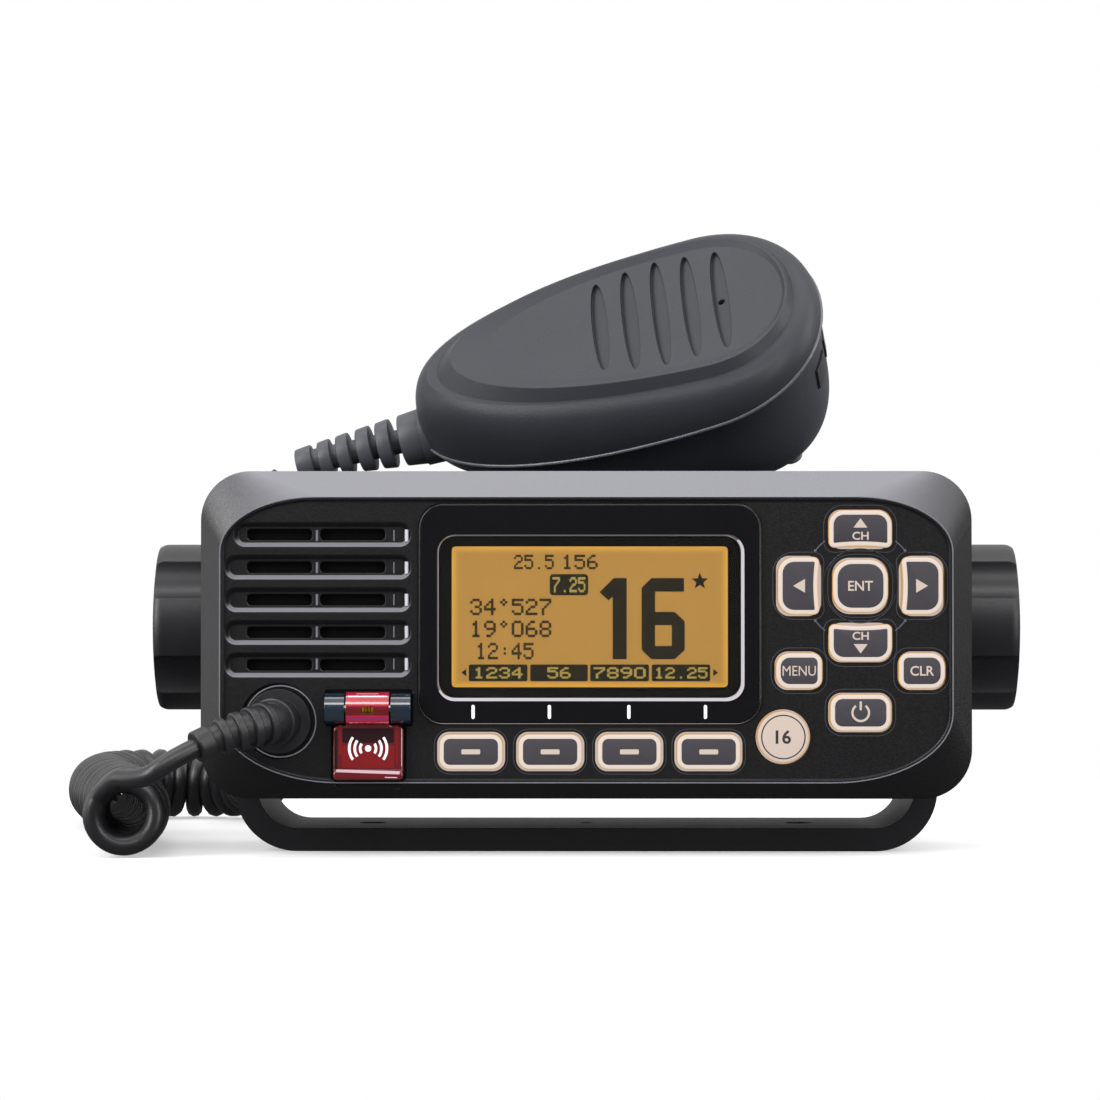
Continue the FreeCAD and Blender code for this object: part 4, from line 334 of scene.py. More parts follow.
def triangle(x, z, width, height, turns):
    """A triangle that points up, then turned anticlockwise by quarters."""
    spots = [(width / 2, -height / 2), (0, height / 2), (-width / 2, -height / 2)]
    for _ in range(turns):
        spots = [(-dz, dx) for dx, dz in spots]
    return [(x + dx, z + dz) for dx, dz in spots]


MITRE = 0.625                    # a sharp corner moves no further than 1 / 0.625 of its sides' move


def shrunk(outline, amount):
    """The outline moved inwards; a minus sign moves it outwards."""
    moved = []
    for i, (x, z) in enumerate(outline):
        (ax, az), (bx, bz) = outline[i - 1], outline[(i + 1) % len(outline)]
        first, second = Vector((x - ax, z - az)).normalized(), Vector((bx - x, bz - z)).normalized()
        normal = Vector((-first.y - second.y, first.x + second.x)).normalized()
        reach = 1 / max(normal.dot(Vector((-first.y, first.x))), MITRE)
        moved.append((x + normal.x * amount * reach, z + normal.y * amount * reach))
    return moved


SHORT_SIDE = 1.2                 # sides shorter than this are never divided


def divided(outline, parts):
    """The outline with each longer side divided into parts, so that it can be bent."""
    return [(ax + (bx - ax) * k / parts, az + (bz - az) * k / parts)
            for (ax, az), (bx, bz) in zip(outline, outline[1:] + outline[:1])
            for k in range(parts if math.hypot(bx - ax, bz - az) > SHORT_SIDE else 1)]


def at(outline, y):
    """The outline's points in metres, at one place from front to back."""
    return [Vector((x * MM, y, z * MM)) for x, z in outline]


# ---------------------------------------------------------------- forms and pieces

def ring_of(form, spots):
    return [form.verts.new(spot) for spot in spots]


def bridge(form, first, second):
    """Faces between two closed rings."""
    for i in range(len(first)):
        form.faces.new((first[i - 1], first[i], second[i], second[i - 1]))


def strip(form, first, second):
    """Faces between two open rows."""
    for i in range(1, len(first)):
        form.faces.new((first[i - 1], first[i], second[i], second[i - 1]))


def plate(form, outline, back, front, rounding=0.0, steps=3):
    """A closed plate between two Y values, its front edge rounded."""
    rings = [ring_of(form, at(outline, back))]
    for k in range(steps + 1 if rounding else 1):
        angle = math.pi / 2 * k / steps
        inset, sunk = rounding * (1 - math.cos(angle)), rounding * MM * (1 - math.sin(angle))
        rings.append(ring_of(form, at(shrunk(outline, inset), front + sunk)))
    for first, second in zip(rings, rings[1:]):
        bridge(form, first, second)
    form.faces.new(rings[0][::-1])
    form.faces.new(rings[-1])


def flat_frame(form, outer, inner, y):
    """A flat frame between two outlines with as many points."""
    bridge(form, ring_of(form, at(outer, y)), ring_of(form, at(inner, y)))


def bead(form, line, radius, closed=False, sides=6, across=Vector((0, 1, 0))):
    """A round bead along points in metres, none of which runs along the direction across."""
    rings = []
    for i, spot in enumerate(line):
        before = line[i - 1] if i or closed else spot
        after = line[(i + 1) % len(line)] if closed or i + 1 < len(line) else spot
        along = (after - before).normalized()
        side = along.cross(across).normalized()
        other = along.cross(side)
        angles = [2 * math.pi * k / sides for k in range(sides)]
        rings.append(ring_of(form, [spot + (side * math.cos(angle) + other * math.sin(angle)) * radius * MM
                                    for angle in angles]))
    for i in range(len(rings) if closed else len(rings) - 1):
        bridge(form, rings[i], rings[(i + 1) % len(rings)])
    if not closed:
        form.faces.new(rings[0][::-1])
        form.faces.new(rings[-1])


CREASE = 35                      # edges sharper than this many degrees stay sharp


def piece(name, form, material, body, smooth=True):
    """A new piece that rides on a body and takes a slot's finish."""
    bmesh.ops.recalc_face_normals(form, faces=form.faces)
    mesh = bpy.data.meshes.new(name)
    form.to_mesh(mesh)
    form.free()
    mesh.materials.append(material)
    if smooth:
        mesh.shade_smooth()
        mesh.set_sharp_from_angle(angle=math.radians(CREASE))
    thing = bpy.data.objects.new(name, mesh)
    bpy.context.scene.collection.objects.link(thing)
    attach(thing, body)
    return thing


def plates(name, outlines, material, body, back, front, rounding=0.0, smooth=True):
    """A piece made of plates between the same two Y values."""
    form = bmesh.new()
    for outline in outlines:
        plate(form, outline, back, front, rounding)
    return piece(name, form, material, body, smooth)


def lettering(form, words, x, z, width, height, back, front, bold=0.0):
    """Adds raised lettering centred on a place and drawn to a width and height."""
    text = bpy.data.curves.new("lettering", "FONT")
    text.body = words
    text.size = height * MM
    text.offset = bold * MM
    text.extrude = 0.5           # any depth will do, because the loop below sets it
    text.resolution_u = 3
    holder = bpy.data.objects.new("lettering", text)
    mesh = bpy.data.meshes.new_from_object(holder)
    low = [min(v.co[i] for v in mesh.vertices) for i in range(3)]
    high = [max(v.co[i] for v in mesh.vertices) for i in range(3)]
    for v in mesh.vertices:
        across, up, out = ((v.co[i] - low[i]) / (high[i] - low[i]) for i in range(3))
        v.co = ((x + (across - 0.5) * width) * MM, back + (front - back) * out,
                (z + (up - 0.5) * height) * MM)
    form.from_mesh(mesh)
    for data, owner in ((holder, bpy.data.objects), (text, bpy.data.curves), (mesh, bpy.data.meshes)):
        owner.remove(data)


# ---------------------------------------------------------------- keys

RIM = 0.86                       # width of a key's lit rim
ROUNDING = 0.4                   # rounding of the rim's front
SPILL = 0.12                     # how far the spilled light reaches outside the rim
SPILL_ROUNDING = 0.1
CAP_SUNK, CAP_PROUD = 0.3, 0.1   # the cap's back lies behind the rim's front, and its front ahead of it
CAP_ROUNDING = 0.12
PRINT_PROUD = 0.13               # the legend's front, ahead of the rim's
SEAT_GAP, SEAT_BEAD = 1.05, 0.1  # from the rim to the edge of its seat in the panel, and that edge's radius
HOLLOW = 0.45                    # depth of the direction keys' hollow sides
HOLLOW_PARTS = 10
BIG, SMALL = 2.9, 1.3            # corners away from the middle key, and towards it
INWARDS = {"up": (0, -1), "down": (0, 1), "left": (1, 0), "right": (-1, 0)}
TURNS = {"up": 0, "left": 1, "down": 2, "right": 3}
KEYS = {
    # name: width, height, corners (one radius, or four anticlockwise from the upper right), legend
    "up": (12.6, 7.6, (BIG, BIG, SMALL, SMALL), "arrow"),
    "down": (12.6, 7.6, (SMALL, SMALL, BIG, BIG), "arrow"),
    "left": (8.4, 11.5, (SMALL, 3.2, 3.2, SMALL), "arrow"),
    "right": (8.4, 11.5, (3.2, SMALL, SMALL, 3.2), "arrow"),
    "enter": (11.0, 10.6, 3.7, "ENT"),
    "menu": (9.2, 7.1, (1.9, 2.7, 2.7, 1.9), "MENU"),
    "clear": (9.2, 7.1, (2.7, 1.9, 1.9, 2.7), "CLR"),
    "power": (12.1, 7.3, 2.4, "power"),
    "soft_1": (12.7, 7.0, 2.1, "dash"),
    "soft_2": (12.7, 7.0, 2.1, "dash"),
    "soft_3": (12.7, 7.0, 2.1, "dash"),
    "soft_4": (12.7, 7.0, 2.1, "dash"),
}
WORDS = {"ENT": (5.0, 0.03), "MENU": (6.7, 0.0), "CLR": (4.8, 0.03)}    # width, and how much bolder
WORD_HEIGHT = 2.0
ARROW, ARROW_OFF = (2.8, 1.9), 1.25          # the up and down keys' triangle, and its place off the middle
CHANNEL, CHANNEL_OFF = (3.3, 1.65), 1.35     # their letters, the other way from the middle
CHANNEL_BOLD = 0.03
SIDE_ARROW = (2.8, 2.4)
DASH = (3.8, 1.0, 0.2)           # width, height and corners
POWER_RADII, POWER_SWEEP = (1.9, 1.45), (125, 415)    # the power sign's ring is open at its top
POWER_BAR = (1.4, 0.45, 1.8, 0.1)            # its bar: height off the middle, width, height and corners


def hollowed(outline, x, z, width, height, inwards):
    """Draws a direction key's side towards the middle key in by a shallow arc."""
    drawn = []
    for px, pz in outline:
        dx, dz = (px - x) * 2 / width, (pz - z) * 2 / height
        ahead, aside = dx * inwards[0] + dz * inwards[1], dx * inwards[1] + dz * inwards[0]
        pull = HOLLOW * max(ahead, 0) * max(1 - aside ** 2, 0)
        drawn.append((px - inwards[0] * pull, pz - inwards[1] * pull))
    return drawn


def legend(form, name, kind, x, z, back, front):
    """The print on a key: an arrow with or without the channel's letters, a dash, a power sign or a word."""
    if kind == "arrow" and name in ("up", "down"):
        sign = 1 if name == "up" else -1
        plate(form, triangle(x, z + sign * ARROW_OFF, *ARROW, TURNS[name]), back, front)
        lettering(form, "CH", x, z - sign * CHANNEL_OFF, *CHANNEL, back, front, CHANNEL_BOLD)
    elif kind == "arrow":
        plate(form, triangle(x, z, *SIDE_ARROW, TURNS[name]), back, front)
    elif kind == "dash":
        plate(form, rounded(x, z, *DASH, steps=2), back, front)
    elif kind == "power":
        (outer, inner), (start, end) = POWER_RADII, POWER_SWEEP
        plate(form, arc(x, z, outer, start, end) + arc(x, z, inner, end, start), back, front)
        up, *bar = POWER_BAR
        plate(form, rounded(x, z + up, *bar, steps=2), back, front)
    else:
        width, bold = WORDS[kind]
        lettering(form, kind, x, z, width, WORD_HEIGHT, back, front, bold)


def key(name):
    """A lit rim with the light that spills round it, a dark printed cap, its legend and a painted highlight
    at its seat.
    """
    node = f"key_{name}"
    low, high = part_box(node)
    back, front = high.y, low.y
    x, z = centre_of(node)
    width, height, corners, kind = KEYS[name]
    outline = rounded(x, z, width, height, corners)
    if kind == "arrow":
        outline = hollowed(divided(outline, HOLLOW_PARTS), x, z, width, height, INWARDS[name])
    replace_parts(plates(f"{node}_rim", [outline], LIT_SILICONE, node, back, front, ROUNDING), node)
    plates(f"{node}_spill", [shrunk(outline, -SPILL)], AMBER_SILICONE, node,
           back, front + ROUNDING * MM, SPILL_ROUNDING)
    plates(f"{node}_cap", [shrunk(outline, RIM)], KEY_CAP, node,
           front + CAP_SUNK * MM, front - CAP_PROUD * MM, CAP_ROUNDING)
    form = bmesh.new()
    legend(form, name, kind, x, z, front, front - PRINT_PROUD * MM)
    piece(f"{node}_print", form, KEY_PRINT, node, smooth=False)
    form = bmesh.new()
    # a pale bead round the key's seat: painted highlight
    bead(form, at(shrunk(outline, -SEAT_GAP), FACE), SEAT_BEAD, closed=True)
    piece(f"{node}_seat", form, SEAT_HIGHLIGHT, "radio")


ROUND_KEY = 5.2                  # radius of the round key
ROUND_KEY_ROUNDING = 0.5
ROUND_KEY_RING = (4.5, 4.25)     # radii of the ring printed on it
RING_AHEAD = 0.03                # the ring, ahead of the key's front
NUMBER, NUMBER_BOLD = (3.1, 2.8), 0.06       # its number's width and height, and how much bolder
NUMBER_SUNK, NUMBER_AHEAD = 0.05, 0.04       # the number's back and front, from the key's front


def round_key():
    """The cream key: a thin dark ring and the number 16."""
    node = "key_sixteen"
    low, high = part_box(node)
    back, front = high.y, low.y
    x, z = centre_of(node)
    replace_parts(plates(f"{node}_cap", [circle(x, z, ROUND_KEY)], KEY_PRINT, node,
                       back, front, ROUND_KEY_ROUNDING), node)
    plates(f"{node}_spill", [circle(x, z, ROUND_KEY + SPILL)], AMBER_SILICONE, node,
           back, front + ROUNDING * MM, SPILL_ROUNDING)
    form = bmesh.new()
    outer, inner = (circle(x, z, radius) for radius in ROUND_KEY_RING)
    flat_frame(form, outer, inner, front - RING_AHEAD * MM)
    lettering(form, "16", x, z, *NUMBER, front + NUMBER_SUNK * MM, front - NUMBER_AHEAD * MM, NUMBER_BOLD)
    piece(f"{node}_print", form, DARK_PRINT, node, smooth=False)


PAD_RIDGE, PAD_RIDGE_BEAD = 7.5, 0.1        # radius of the ridge round the middle key, and of its bead
PAD_EDGE, PAD_EDGE_BEAD, PAD_EDGE_SWEEP = 11.5, 0.16, 14    # radius of the short edges, bead, and degrees
PAD_EDGE_AHEAD = 0.05
PAD_EDGES = ((38, 0), (128, -1), (218, 0), (308, -1))    # first angle, and the end that has a ball
PAD_BALL = 0.34


def pad_ridges():
    """A fine ridge round the middle key, and the four short edges that join the arrow keys as pale beads with
    a ball at one end: painted highlights.
    """
    form = bmesh.new()
    bead(form, at(circle(*PAD, PAD_RIDGE, 72), FACE), PAD_RIDGE_BEAD, closed=True)
    piece("pad_ridge", form, PANEL_ABS, "radio")
    form = bmesh.new()
    for start, ball_end in PAD_EDGES:
        line = at(arc(*PAD, PAD_EDGE, start, start + PAD_EDGE_SWEEP, 8), FACE - PAD_EDGE_AHEAD * MM)
        bead(form, line, PAD_EDGE_BEAD)
        bmesh.ops.create_icosphere(form, subdivisions=2, radius=PAD_BALL * MM,
                                   matrix=Matrix.Translation(line[ball_end]))
    # the pale beads and balls are painted highlights
    piece("pad_edges", form, SEAM_RUBBER_AND_HIGHLIGHT, "radio")


for name in KEYS:
    key(name)
round_key()
pad_ridges()


# ---------------------------------------------------------------- edges of the face and the grille

FACE_INSET = (4.2, 3.4, 5.4)     # the face's edge from the panel's sides, bottom and top
UPPER_CORNER = (19, 11)          # how far the face's corners sweep, across and up
LOWER_CORNER = (24, 14)
FACE_BEAD = 0.13                 # radii of the beads, here and below
SEAT_RING, SEAT_RING_BEAD = 7.2, 0.16        # round the boot's seat
SLOT_END_HALF, SLOT_END_DEPTH, SLOT_END_BEAD = 1.2, 1.1, 0.38    # half height, and depth inside the rim
SLOT_WEB_HALF, SLOT_WEB_DEPTH = 1.1, 1.8
SLOT_WEBS = ((-54.5, 0.25), (-38.9, 0.14))   # ribs beside the slots' through openings: place and bead


def face_edges():
    """Pale beads along edges, painted highlights: round the face, the boot's seat and the grille's slots."""
    rim = PANEL_LOW.y
    left, right = PANEL_LOW.x / MM + FACE_INSET[0], PANEL_HIGH.x / MM - FACE_INSET[0]
    low, high = PANEL_LOW.z / MM + FACE_INSET[1], PANEL_HIGH.z / MM - FACE_INSET[2]
    line = []
    for (across, up), x, sx, z, sz, start in (
            (UPPER_CORNER, left, 1, high, -1, 90), (LOWER_CORNER, left, 1, low, 1, 180),
            (LOWER_CORNER, right, -1, low, 1, 270), (UPPER_CORNER, right, -1, high, -1, 0)):
        line += [(x + (sx + cos) * across, z + (sz + sin) * up)
                 for cos, sin in arc(0, 0, 1, start, start + 90, 16)]
    form = bmesh.new()
    # pale beads round the face and the boot's seat: painted highlights
    bead(form, at(line, rim), FACE_BEAD)
    bead(form, at(circle(*BOOT_SEAT, SEAT_RING), FACE), SEAT_RING_BEAD, closed=True)
    piece("face_edges", form, EDGE_HIGHLIGHT, "radio")
    # pale beads at the slots' right ends: painted highlights
    form = bmesh.new()
    for z in SLOTS:
        ends = [(SLOT_END, z - SLOT_END_HALF), (SLOT_END, z + SLOT_END_HALF)]
        bead(form, at(ends, rim + SLOT_END_DEPTH * MM), SLOT_END_BEAD)
    piece("slot_ends", form, SLOT_HIGHLIGHT, "radio")
    # pale beads on the ribs beside the slots: painted highlights
    form = bmesh.new()
    for z in SLOTS:
        for x, radius in SLOT_WEBS:
            ends = [(x, z - SLOT_WEB_HALF), (x, z + SLOT_WEB_HALF)]
            bead(form, at(ends, rim + SLOT_WEB_DEPTH * MM), radius)
    piece("slot_webs", form, EDGE_HIGHLIGHT, "radio")


face_edges()


# ---------------------------------------------------------------- display

# plain numbers drawn with square dots, five across and seven up
DOTS = {
    "0": "01110 10001 10001 10001 10001 10001 01110", "1": "00100 01100 00100 00100 00100 00100 01110",
    "2": "01110 10001 00001 00110 01000 10000 11111", "3": "01110 10001 00001 00110 00001 10001 01110",
    "4": "00010 00110 01010 10010 11111 00010 00010", "5": "11111 10000 11110 00001 00001 10001 01110",
    "6": "00110 01000 10000 11110 10001 10001 01110", "7": "11111 00001 00010 00100 01000 01000 01000",
    "8": "01110 10001 10001 01110 10001 10001 01110", "9": "01110 10001 10001 01111 00001 00010 01100",
    ":": "00000 00000 00100 00000 00100 00000 00000", ".": "00000 00000 00000 00000 00000 00000 00100",
    "'": "00100 01010 00100 00000 00000 00000 00000",
}
DOT_OVERLAP = 0.08               # how much wider a bar of dots is than its dots, so that bars join
# all places on the display are counted from the screen's middle
BIG_NUMBER = [
    # the channel number's strokes
    [(7.5, -8.6), (7.5, 7.85), (4.85, 7.85), (2.0, 5.0), (3.8, 3.3), (4.65, 4.1), (4.65, -8.6)],
    [(13.25, -8.6), (13.25, 7.85), (12.5, 7.85), (10.5, 5.9), (10.5, -6.7), (12.5, -8.6)],
    [(19.1, 5.1), (19.1, 7.85), (13.25, 7.85), (13.25, 5.1)],
    [(19.25, -1.7), (19.25, -0.9), (17.2, 1.0), (13.25, 1.0), (13.25, -1.7)],
    [(19.25, -5.9), (19.25, -1.7), (16.6, -1.7), (16.6, -5.9)],
    [(17.2, -8.6), (19.25, -6.7), (19.25, -5.9), (13.25, -5.9), (13.25, -8.6)],
]
STAR_PLACE, STAR_RADII = (22.3, 7.2), [1.8, 0.75]
STAR = [(STAR_PLACE[0] + r * math.sin(-math.pi * k / 5), STAR_PLACE[1] + r * math.cos(math.pi * k / 5))
        for k, r in enumerate(STAR_RADII * 5)]
BOX = (-4.2, 6.5, 7.8, 4.3, 0.7)              # the dark box: place, width, height and corners
BOX_NUMBER = ("7.25", -7.5, 6.5, 6.6, 3.0)    # its number, as in the next table
NUMBERS = [
    # left end, middle height, width and height of each number
    ("25.5", -15.3, 11.1, 8.0, 2.9),
    ("156", -5.6, 11.1, 7.2, 2.9),
    ("34'527", -24.2, 2.0, 16.4, 3.3),
    ("19'068", -24.2, -2.45, 16.4, 3.3),
    ("12:45", -23.0, -6.95, 11.6, 3.3),
]
LABELS = [
    # left and right end of each dark label over a soft key, and its number's inset
    ("1234", -24.5, -12.6, 1.0),
    ("56", -12.05, -0.4, 3.5),
    ("7890", 0.1, 12.0, 0.7),
    ("12.25", 12.55, 24.4, 0.6),
]
LABEL_Z, LABEL_SIZE, LABEL_CORNER, LABEL_NUMBER_SIZE = -11.35, 3.4, 0.35, 2.2
END_ARROWS = (("left", -25.5), ("right", 25.5))    # the small triangles beyond the labels
END_ARROW = (-11.3, 1.5, 1.0)    # their middle height, width and height
INK, BRIGHT_INK = 0.04, 0.07     # how far dark and bright marks stand ahead of the field
WINDOW_CORNER, SCREEN_CORNER = 3.2, 0.8
BORDER_AHEAD = 0.05


def window_size():
    """Width and height of the window, in millimetres."""
    low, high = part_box("display_glass")
    return (high.x - low.x) / MM, (high.z - low.z) / MM


def display_contents():
    """What the display shows, printed just ahead of its lit field, and the black border round the field."""
    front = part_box("lcd_module")[0].y
    dark, fine, bright = bmesh.new(), bmesh.new(), bmesh.new()

    def shape(form, outline, ahead=INK):
        plate(form, [(WINDOW[0] + x, WINDOW[1] + z) for x, z in outline], front, front - ahead * MM)

    def dotted(form, words, x, z, width, height, ahead=INK):
        """A number from its left end and its middle height; each run of dots is one bar."""
        dot_x, dot_z = width / (6 * len(words) - 1), height / 7
        for place, letter in enumerate(words):
            for row, dots in enumerate(DOTS[letter].split()):
                left, up = x + 6 * place * dot_x, z + height / 2 - (row + 0.5) * dot_z
                for start in [k for k in range(5) if dots[k] == "1" and (k == 0 or dots[k - 1] == "0")]:
                    run = (dots[start:] + "0").index("0")
                    shape(form, rounded(left + (start + run / 2) * dot_x, up, run * dot_x + DOT_OVERLAP,
                                        dot_z + DOT_OVERLAP, 0.08, steps=1), ahead)

    for outline in BIG_NUMBER + [STAR]:
        shape(dark, outline)
    shape(dark, rounded(*BOX, steps=3))
    dotted(bright, *BOX_NUMBER, BRIGHT_INK)
    for number in NUMBERS:
        dotted(fine, *number)
    for words, left, right, inset in LABELS:
        width = right - left
        shape(dark, rounded(left + width / 2, LABEL_Z, width, LABEL_SIZE, LABEL_CORNER, steps=3))
        dotted(bright, words, left + inset, LABEL_Z, width - 2 * inset, LABEL_NUMBER_SIZE, BRIGHT_INK)
    for name, x in END_ARROWS:
        shape(dark, triangle(x, *END_ARROW, TURNS[name]))
    piece("display_marks", dark, DARK_PIXEL, "radio", smooth=False)
    piece("display_fine_marks", fine, FINE_PIXEL, "radio", smooth=False)
    piece("display_bright_marks", bright, AMBER_PIXEL, "radio", smooth=False)
    border = bmesh.new()
    flat_frame(border, rounded(*WINDOW, *window_size(), WINDOW_CORNER),
               rounded(*WINDOW, *SCREEN, SCREEN_CORNER), front - BORDER_AHEAD * MM)
    piece("display_border", border, MATT_BLACK, "radio")


CHAMFER = 0.425                  # width of the window's chamfer strip
CHAMFER_SHIFT = 0.2              # how much wider it is at the lower right, and finer at the upper left
CHAMFER_CORNER = 3.6
CHAMFER_OUT, CHAMFER_IN = 0.12, 0.03    # its outer and inner edge, ahead of the bezel's front
# its two parts, as runs of the outline's points: eleven to a corner, anticlockwise from the upper right
CHAMFER_PARTS = (("window_edge", CHAMFER_HIGHLIGHT, 25, 49), ("window_fine_edge", CHAMFER_SHADE, 5, 25))


def window_edge():
    """The window's chamfer as a flat strip: a wide pale painted highlight at the lower right, a fine grey
    painted shade at the upper left.
    """
    x, z = WINDOW
    width, height = window_size()
    outer = rounded(x + CHAMFER_SHIFT, z - CHAMFER_SHIFT, width + 2 * CHAMFER, height + 2 * CHAMFER,
                    CHAMFER_CORNER, steps=10)
    inner = rounded(x, z, width, height, WINDOW_CORNER, steps=10)
    # the pale part is painted highlight, the grey part painted shade
    for name, material, first, last in CHAMFER_PARTS:
        form = bmesh.new()
        rows = []
        for outline, ahead in ((outer, CHAMFER_OUT), (inner, CHAMFER_IN)):
            part = [outline[k % len(outline)] for k in range(first, last + 1)]
            rows.append(ring_of(form, at(part, BEZEL_FRONT - ahead * MM)))
        strip(form, *rows)
        piece(name, form, material, "radio")


TICKS = (-22.8, -7.4, 8.65, 24.1)            # the marks' places across
TICK_BELOW = 19.2                # their middle below the window's
TICK_WIDTH, TICK_HEIGHT, TICK_CORNER, TICK_AHEAD = 0.65, 2.8, 0.3, 0.05


def label_ticks():
    """Four short white marks between the display and the soft keys."""
    z = WINDOW[1] - TICK_BELOW
    plates("label_ticks", [rounded(x, z, TICK_WIDTH, TICK_HEIGHT, TICK_CORNER) for x in TICKS],
           PALE_PRINT, "radio", BEZEL_FRONT, BEZEL_FRONT - TICK_AHEAD * MM)


display_contents()
window_edge()
label_ticks()


# ---------------------------------------------------------------- distress cover

FLAP_AHEAD, LIP_AHEAD = 1.7, 2.4     # the flap's and its lip's front, ahead of the face
BEACON = 6.3                     # the beacon mark's middle above the flap's lower edge
WAVES, WAVE_HALF, WAVE_SWEEP = (1.6, 2.7, 3.8), 0.26, 36    # radii, half the stroke, and half the angle


def distress_cover_print():
    """The cover's clear red flap: painted shade over the well above, a paler field of painted light with a
    beacon mark, and painted highlights on its lip and sides.
    """
    low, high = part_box("distress_cover")
    x, bottom = (low.x + high.x) / 2 / MM, low.z / MM

    def on_flap(name, material, outlines, front=FLAP_AHEAD, thick=0.04):
        """Plates whose outlines are counted from the middle of the flap's lower edge."""
        moved = [[(x + px, bottom + pz) for px, pz in outline] for outline in outlines]
        level = FACE - front * MM
        plates(name, moved, material, "distress_cover", level + 0.1 * MM, level - thick * MM,
               smooth=False)

    # the field's paler red is painted light
    on_flap("cover_field", FIELD_LIGHT, [rounded(0, 4.6, 10.6, 4.6, 0.3), rounded(-5.6, 8, 0.5, 6, 0.2),
                                      rounded(5.8, 7, 0.4, 8, 0.2)])
    # the well's dark plate is painted shade
    on_flap("cover_well", WELL_SHADE, [rounded(0, 8.9, 10.4, 2.9, 0.3), rounded(-6.5, 6, 0.6, 8, 0.25)])
    bands = [circle(0, BEACON, 0.65, 24)]
    for middle in (0, 180):
        start, end = middle - WAVE_SWEEP, middle + WAVE_SWEEP
        for radius in WAVES:
            bands.append(arc(0, BEACON, radius + WAVE_HALF, start, end, 12)
                         + arc(0, BEACON, radius - WAVE_HALF, end, start, 12))
    on_flap("cover_mark", PALE_PRINT, bands, thick=0.08)
    # the pale strips on the lip and sides are painted highlights
    on_flap("cover_gleam", LIP_GLEAM, [[(6.4, 1.1), (6.4, 1.75), (-6.4, 2.1), (-6.4, 1.55)],
                                       [(5.9, 0.35), (5.9, 0.55), (3.4, 0.6), (3.4, 0.4)]], front=LIP_AHEAD)
    on_flap("cover_side_gleam", LIP_GLEAM, [rounded(-6.75, 5.3, 0.12, 5.2, 0.05),
                                            rounded(6.75, 6.5, 0.1, 7.5, 0.04)])


# the skin is painted light, the gleams painted highlights and the magenta strip painted shade
BARREL = (
    # each piece of the barrel's skin, and its strips: half width, radius, and two angles above the front
    ("barrel_skin", BARREL_LIGHT, ((4.3, 3.36, 8, 75), (4.3, 3.36, -62, -24))),
    ("barrel_gleam", LIP_GLEAM, ((3.9, 3.4, 43, 49), (2.2, 3.4, 58, 62))),
    ("barrel_shade", MAGENTA, ((4.2, 3.4, -44, -30),)),
)


def hinge_barrel():
    """The clear red barrel: a paler skin of painted light, painted highlights along its top and painted
    magenta shade below.
    """
    x = centre_of("hinge_caps")[0]
    low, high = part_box("hinge_pin")
    y, z = (low.y + high.y) / 2 / MM, centre_of("hinge_pin")[1]
    for name, material, strips in BARREL:
        form = bmesh.new()
        for half, radius, start, end in strips:
            sweep = arc(0, 0, radius, start, end, 16)
            left, right = (ring_of(form, [Vector((edge, y - out, z + up)) * MM for out, up in sweep])
                           for edge in (x - half, x + half))
            strip(form, right, left)
        piece(name, form, material, "distress_cover")


distress_cover_print()
hinge_barrel()


# ---------------------------------------------------------------- microphone

# the microphone's own frame: X along it to its top, Y across, Z out of its front
MIC_SPOT = (16.1, 11.2, 114.75)
MIC_YAW, MIC_RISE, MIC_LEAN = -7.1, -12.4, 46.6    # degrees about Z, Y and X, as it lies on the case
MIC_PLACE = (Matrix.Translation(Vector(MIC_SPOT)) @ Matrix.Rotation(math.radians(MIC_YAW), 4, "Z")
             @ Matrix.Rotation(math.radians(MIC_RISE), 4, "Y")
             @ Matrix.Rotation(math.radians(MIC_LEAN), 4, "X"))
MIC_MIDDLE = 8.5                 # where it is widest, along it
MIC_TOP, MIC_TAIL = 25.6, 67     # from there to its two ends
MIC_HALF = 27.8                  # half its width
MIC_FULLNESS = 0.76              # how square its top is
SEAM_LEVEL, SEAM_SLOPE = -11.55, 0.12    # the seam's depth at the middle of the frame, and its rise along it
SEAM_BEAD = 0.4


def conic(start, corner, end, fullness=math.sqrt(0.5), steps=16):
    """A quarter of an oval from start to end inside their corner; more fullness is squarer."""
    line = []
    for k in range(steps):
        t = k / steps
        parts = ((1 - t) ** 2, 2 * fullness * t * (1 - t), t * t)
        line.append(tuple(sum(part * spot[i] for part, spot in zip(parts, (start, corner, end))) / sum(parts)
                          for i in (0, 1)))
    return line


def microphone_seam():
    """The light bead of the seam between the microphone's shells."""
    tip, end, half = MIC_MIDDLE + MIC_TOP, MIC_MIDDLE - MIC_TAIL, MIC_HALF
    side = conic((tip, 0), (tip, half), (MIC_MIDDLE, half), MIC_FULLNESS)
    side += conic((MIC_MIDDLE, half), (end, half), (end, 0)) + [(end, 0)]
    outline = side + [(x, -y) for x, y in side[-2:0:-1]]
    spots = [(MIC_PLACE @ Vector((x, y, SEAM_LEVEL + SEAM_SLOPE * x))) * MM for x, y in outline]
    form = bmesh.new()
    bead(form, spots, SEAM_BEAD, closed=True, sides=8, across=MIC_PLACE.to_3x3() @ Vector((0, 0, 1)))
    piece("microphone_seam", form, SEAM_RUBBER_AND_HIGHLIGHT, "microphone")


BOOT_LENGTH, BOOT_INSIDE = 29.2, 4               # ahead of the microphone's end, and inside it
BOOT_BIG, BOOT_SMALL, BOOT_CORE = 6.6, 3.4, 2.7  # radii at its root, at its tip and between its ribs
BOOT_DROP = 19.6                 # the boot's middle below the microphone's frame
BOOT_ROUNDING = (0.45, 0.12)     # the ribs' edges are cut back by the first, with a point at the second
BOOT_RIBS = [(0, 0.17), (0.24, 0.35), (0.4, 0.51), (0.57, 0.67), (0.72, 0.82), (0.87, 1)]
BOOT_SIDES = 48


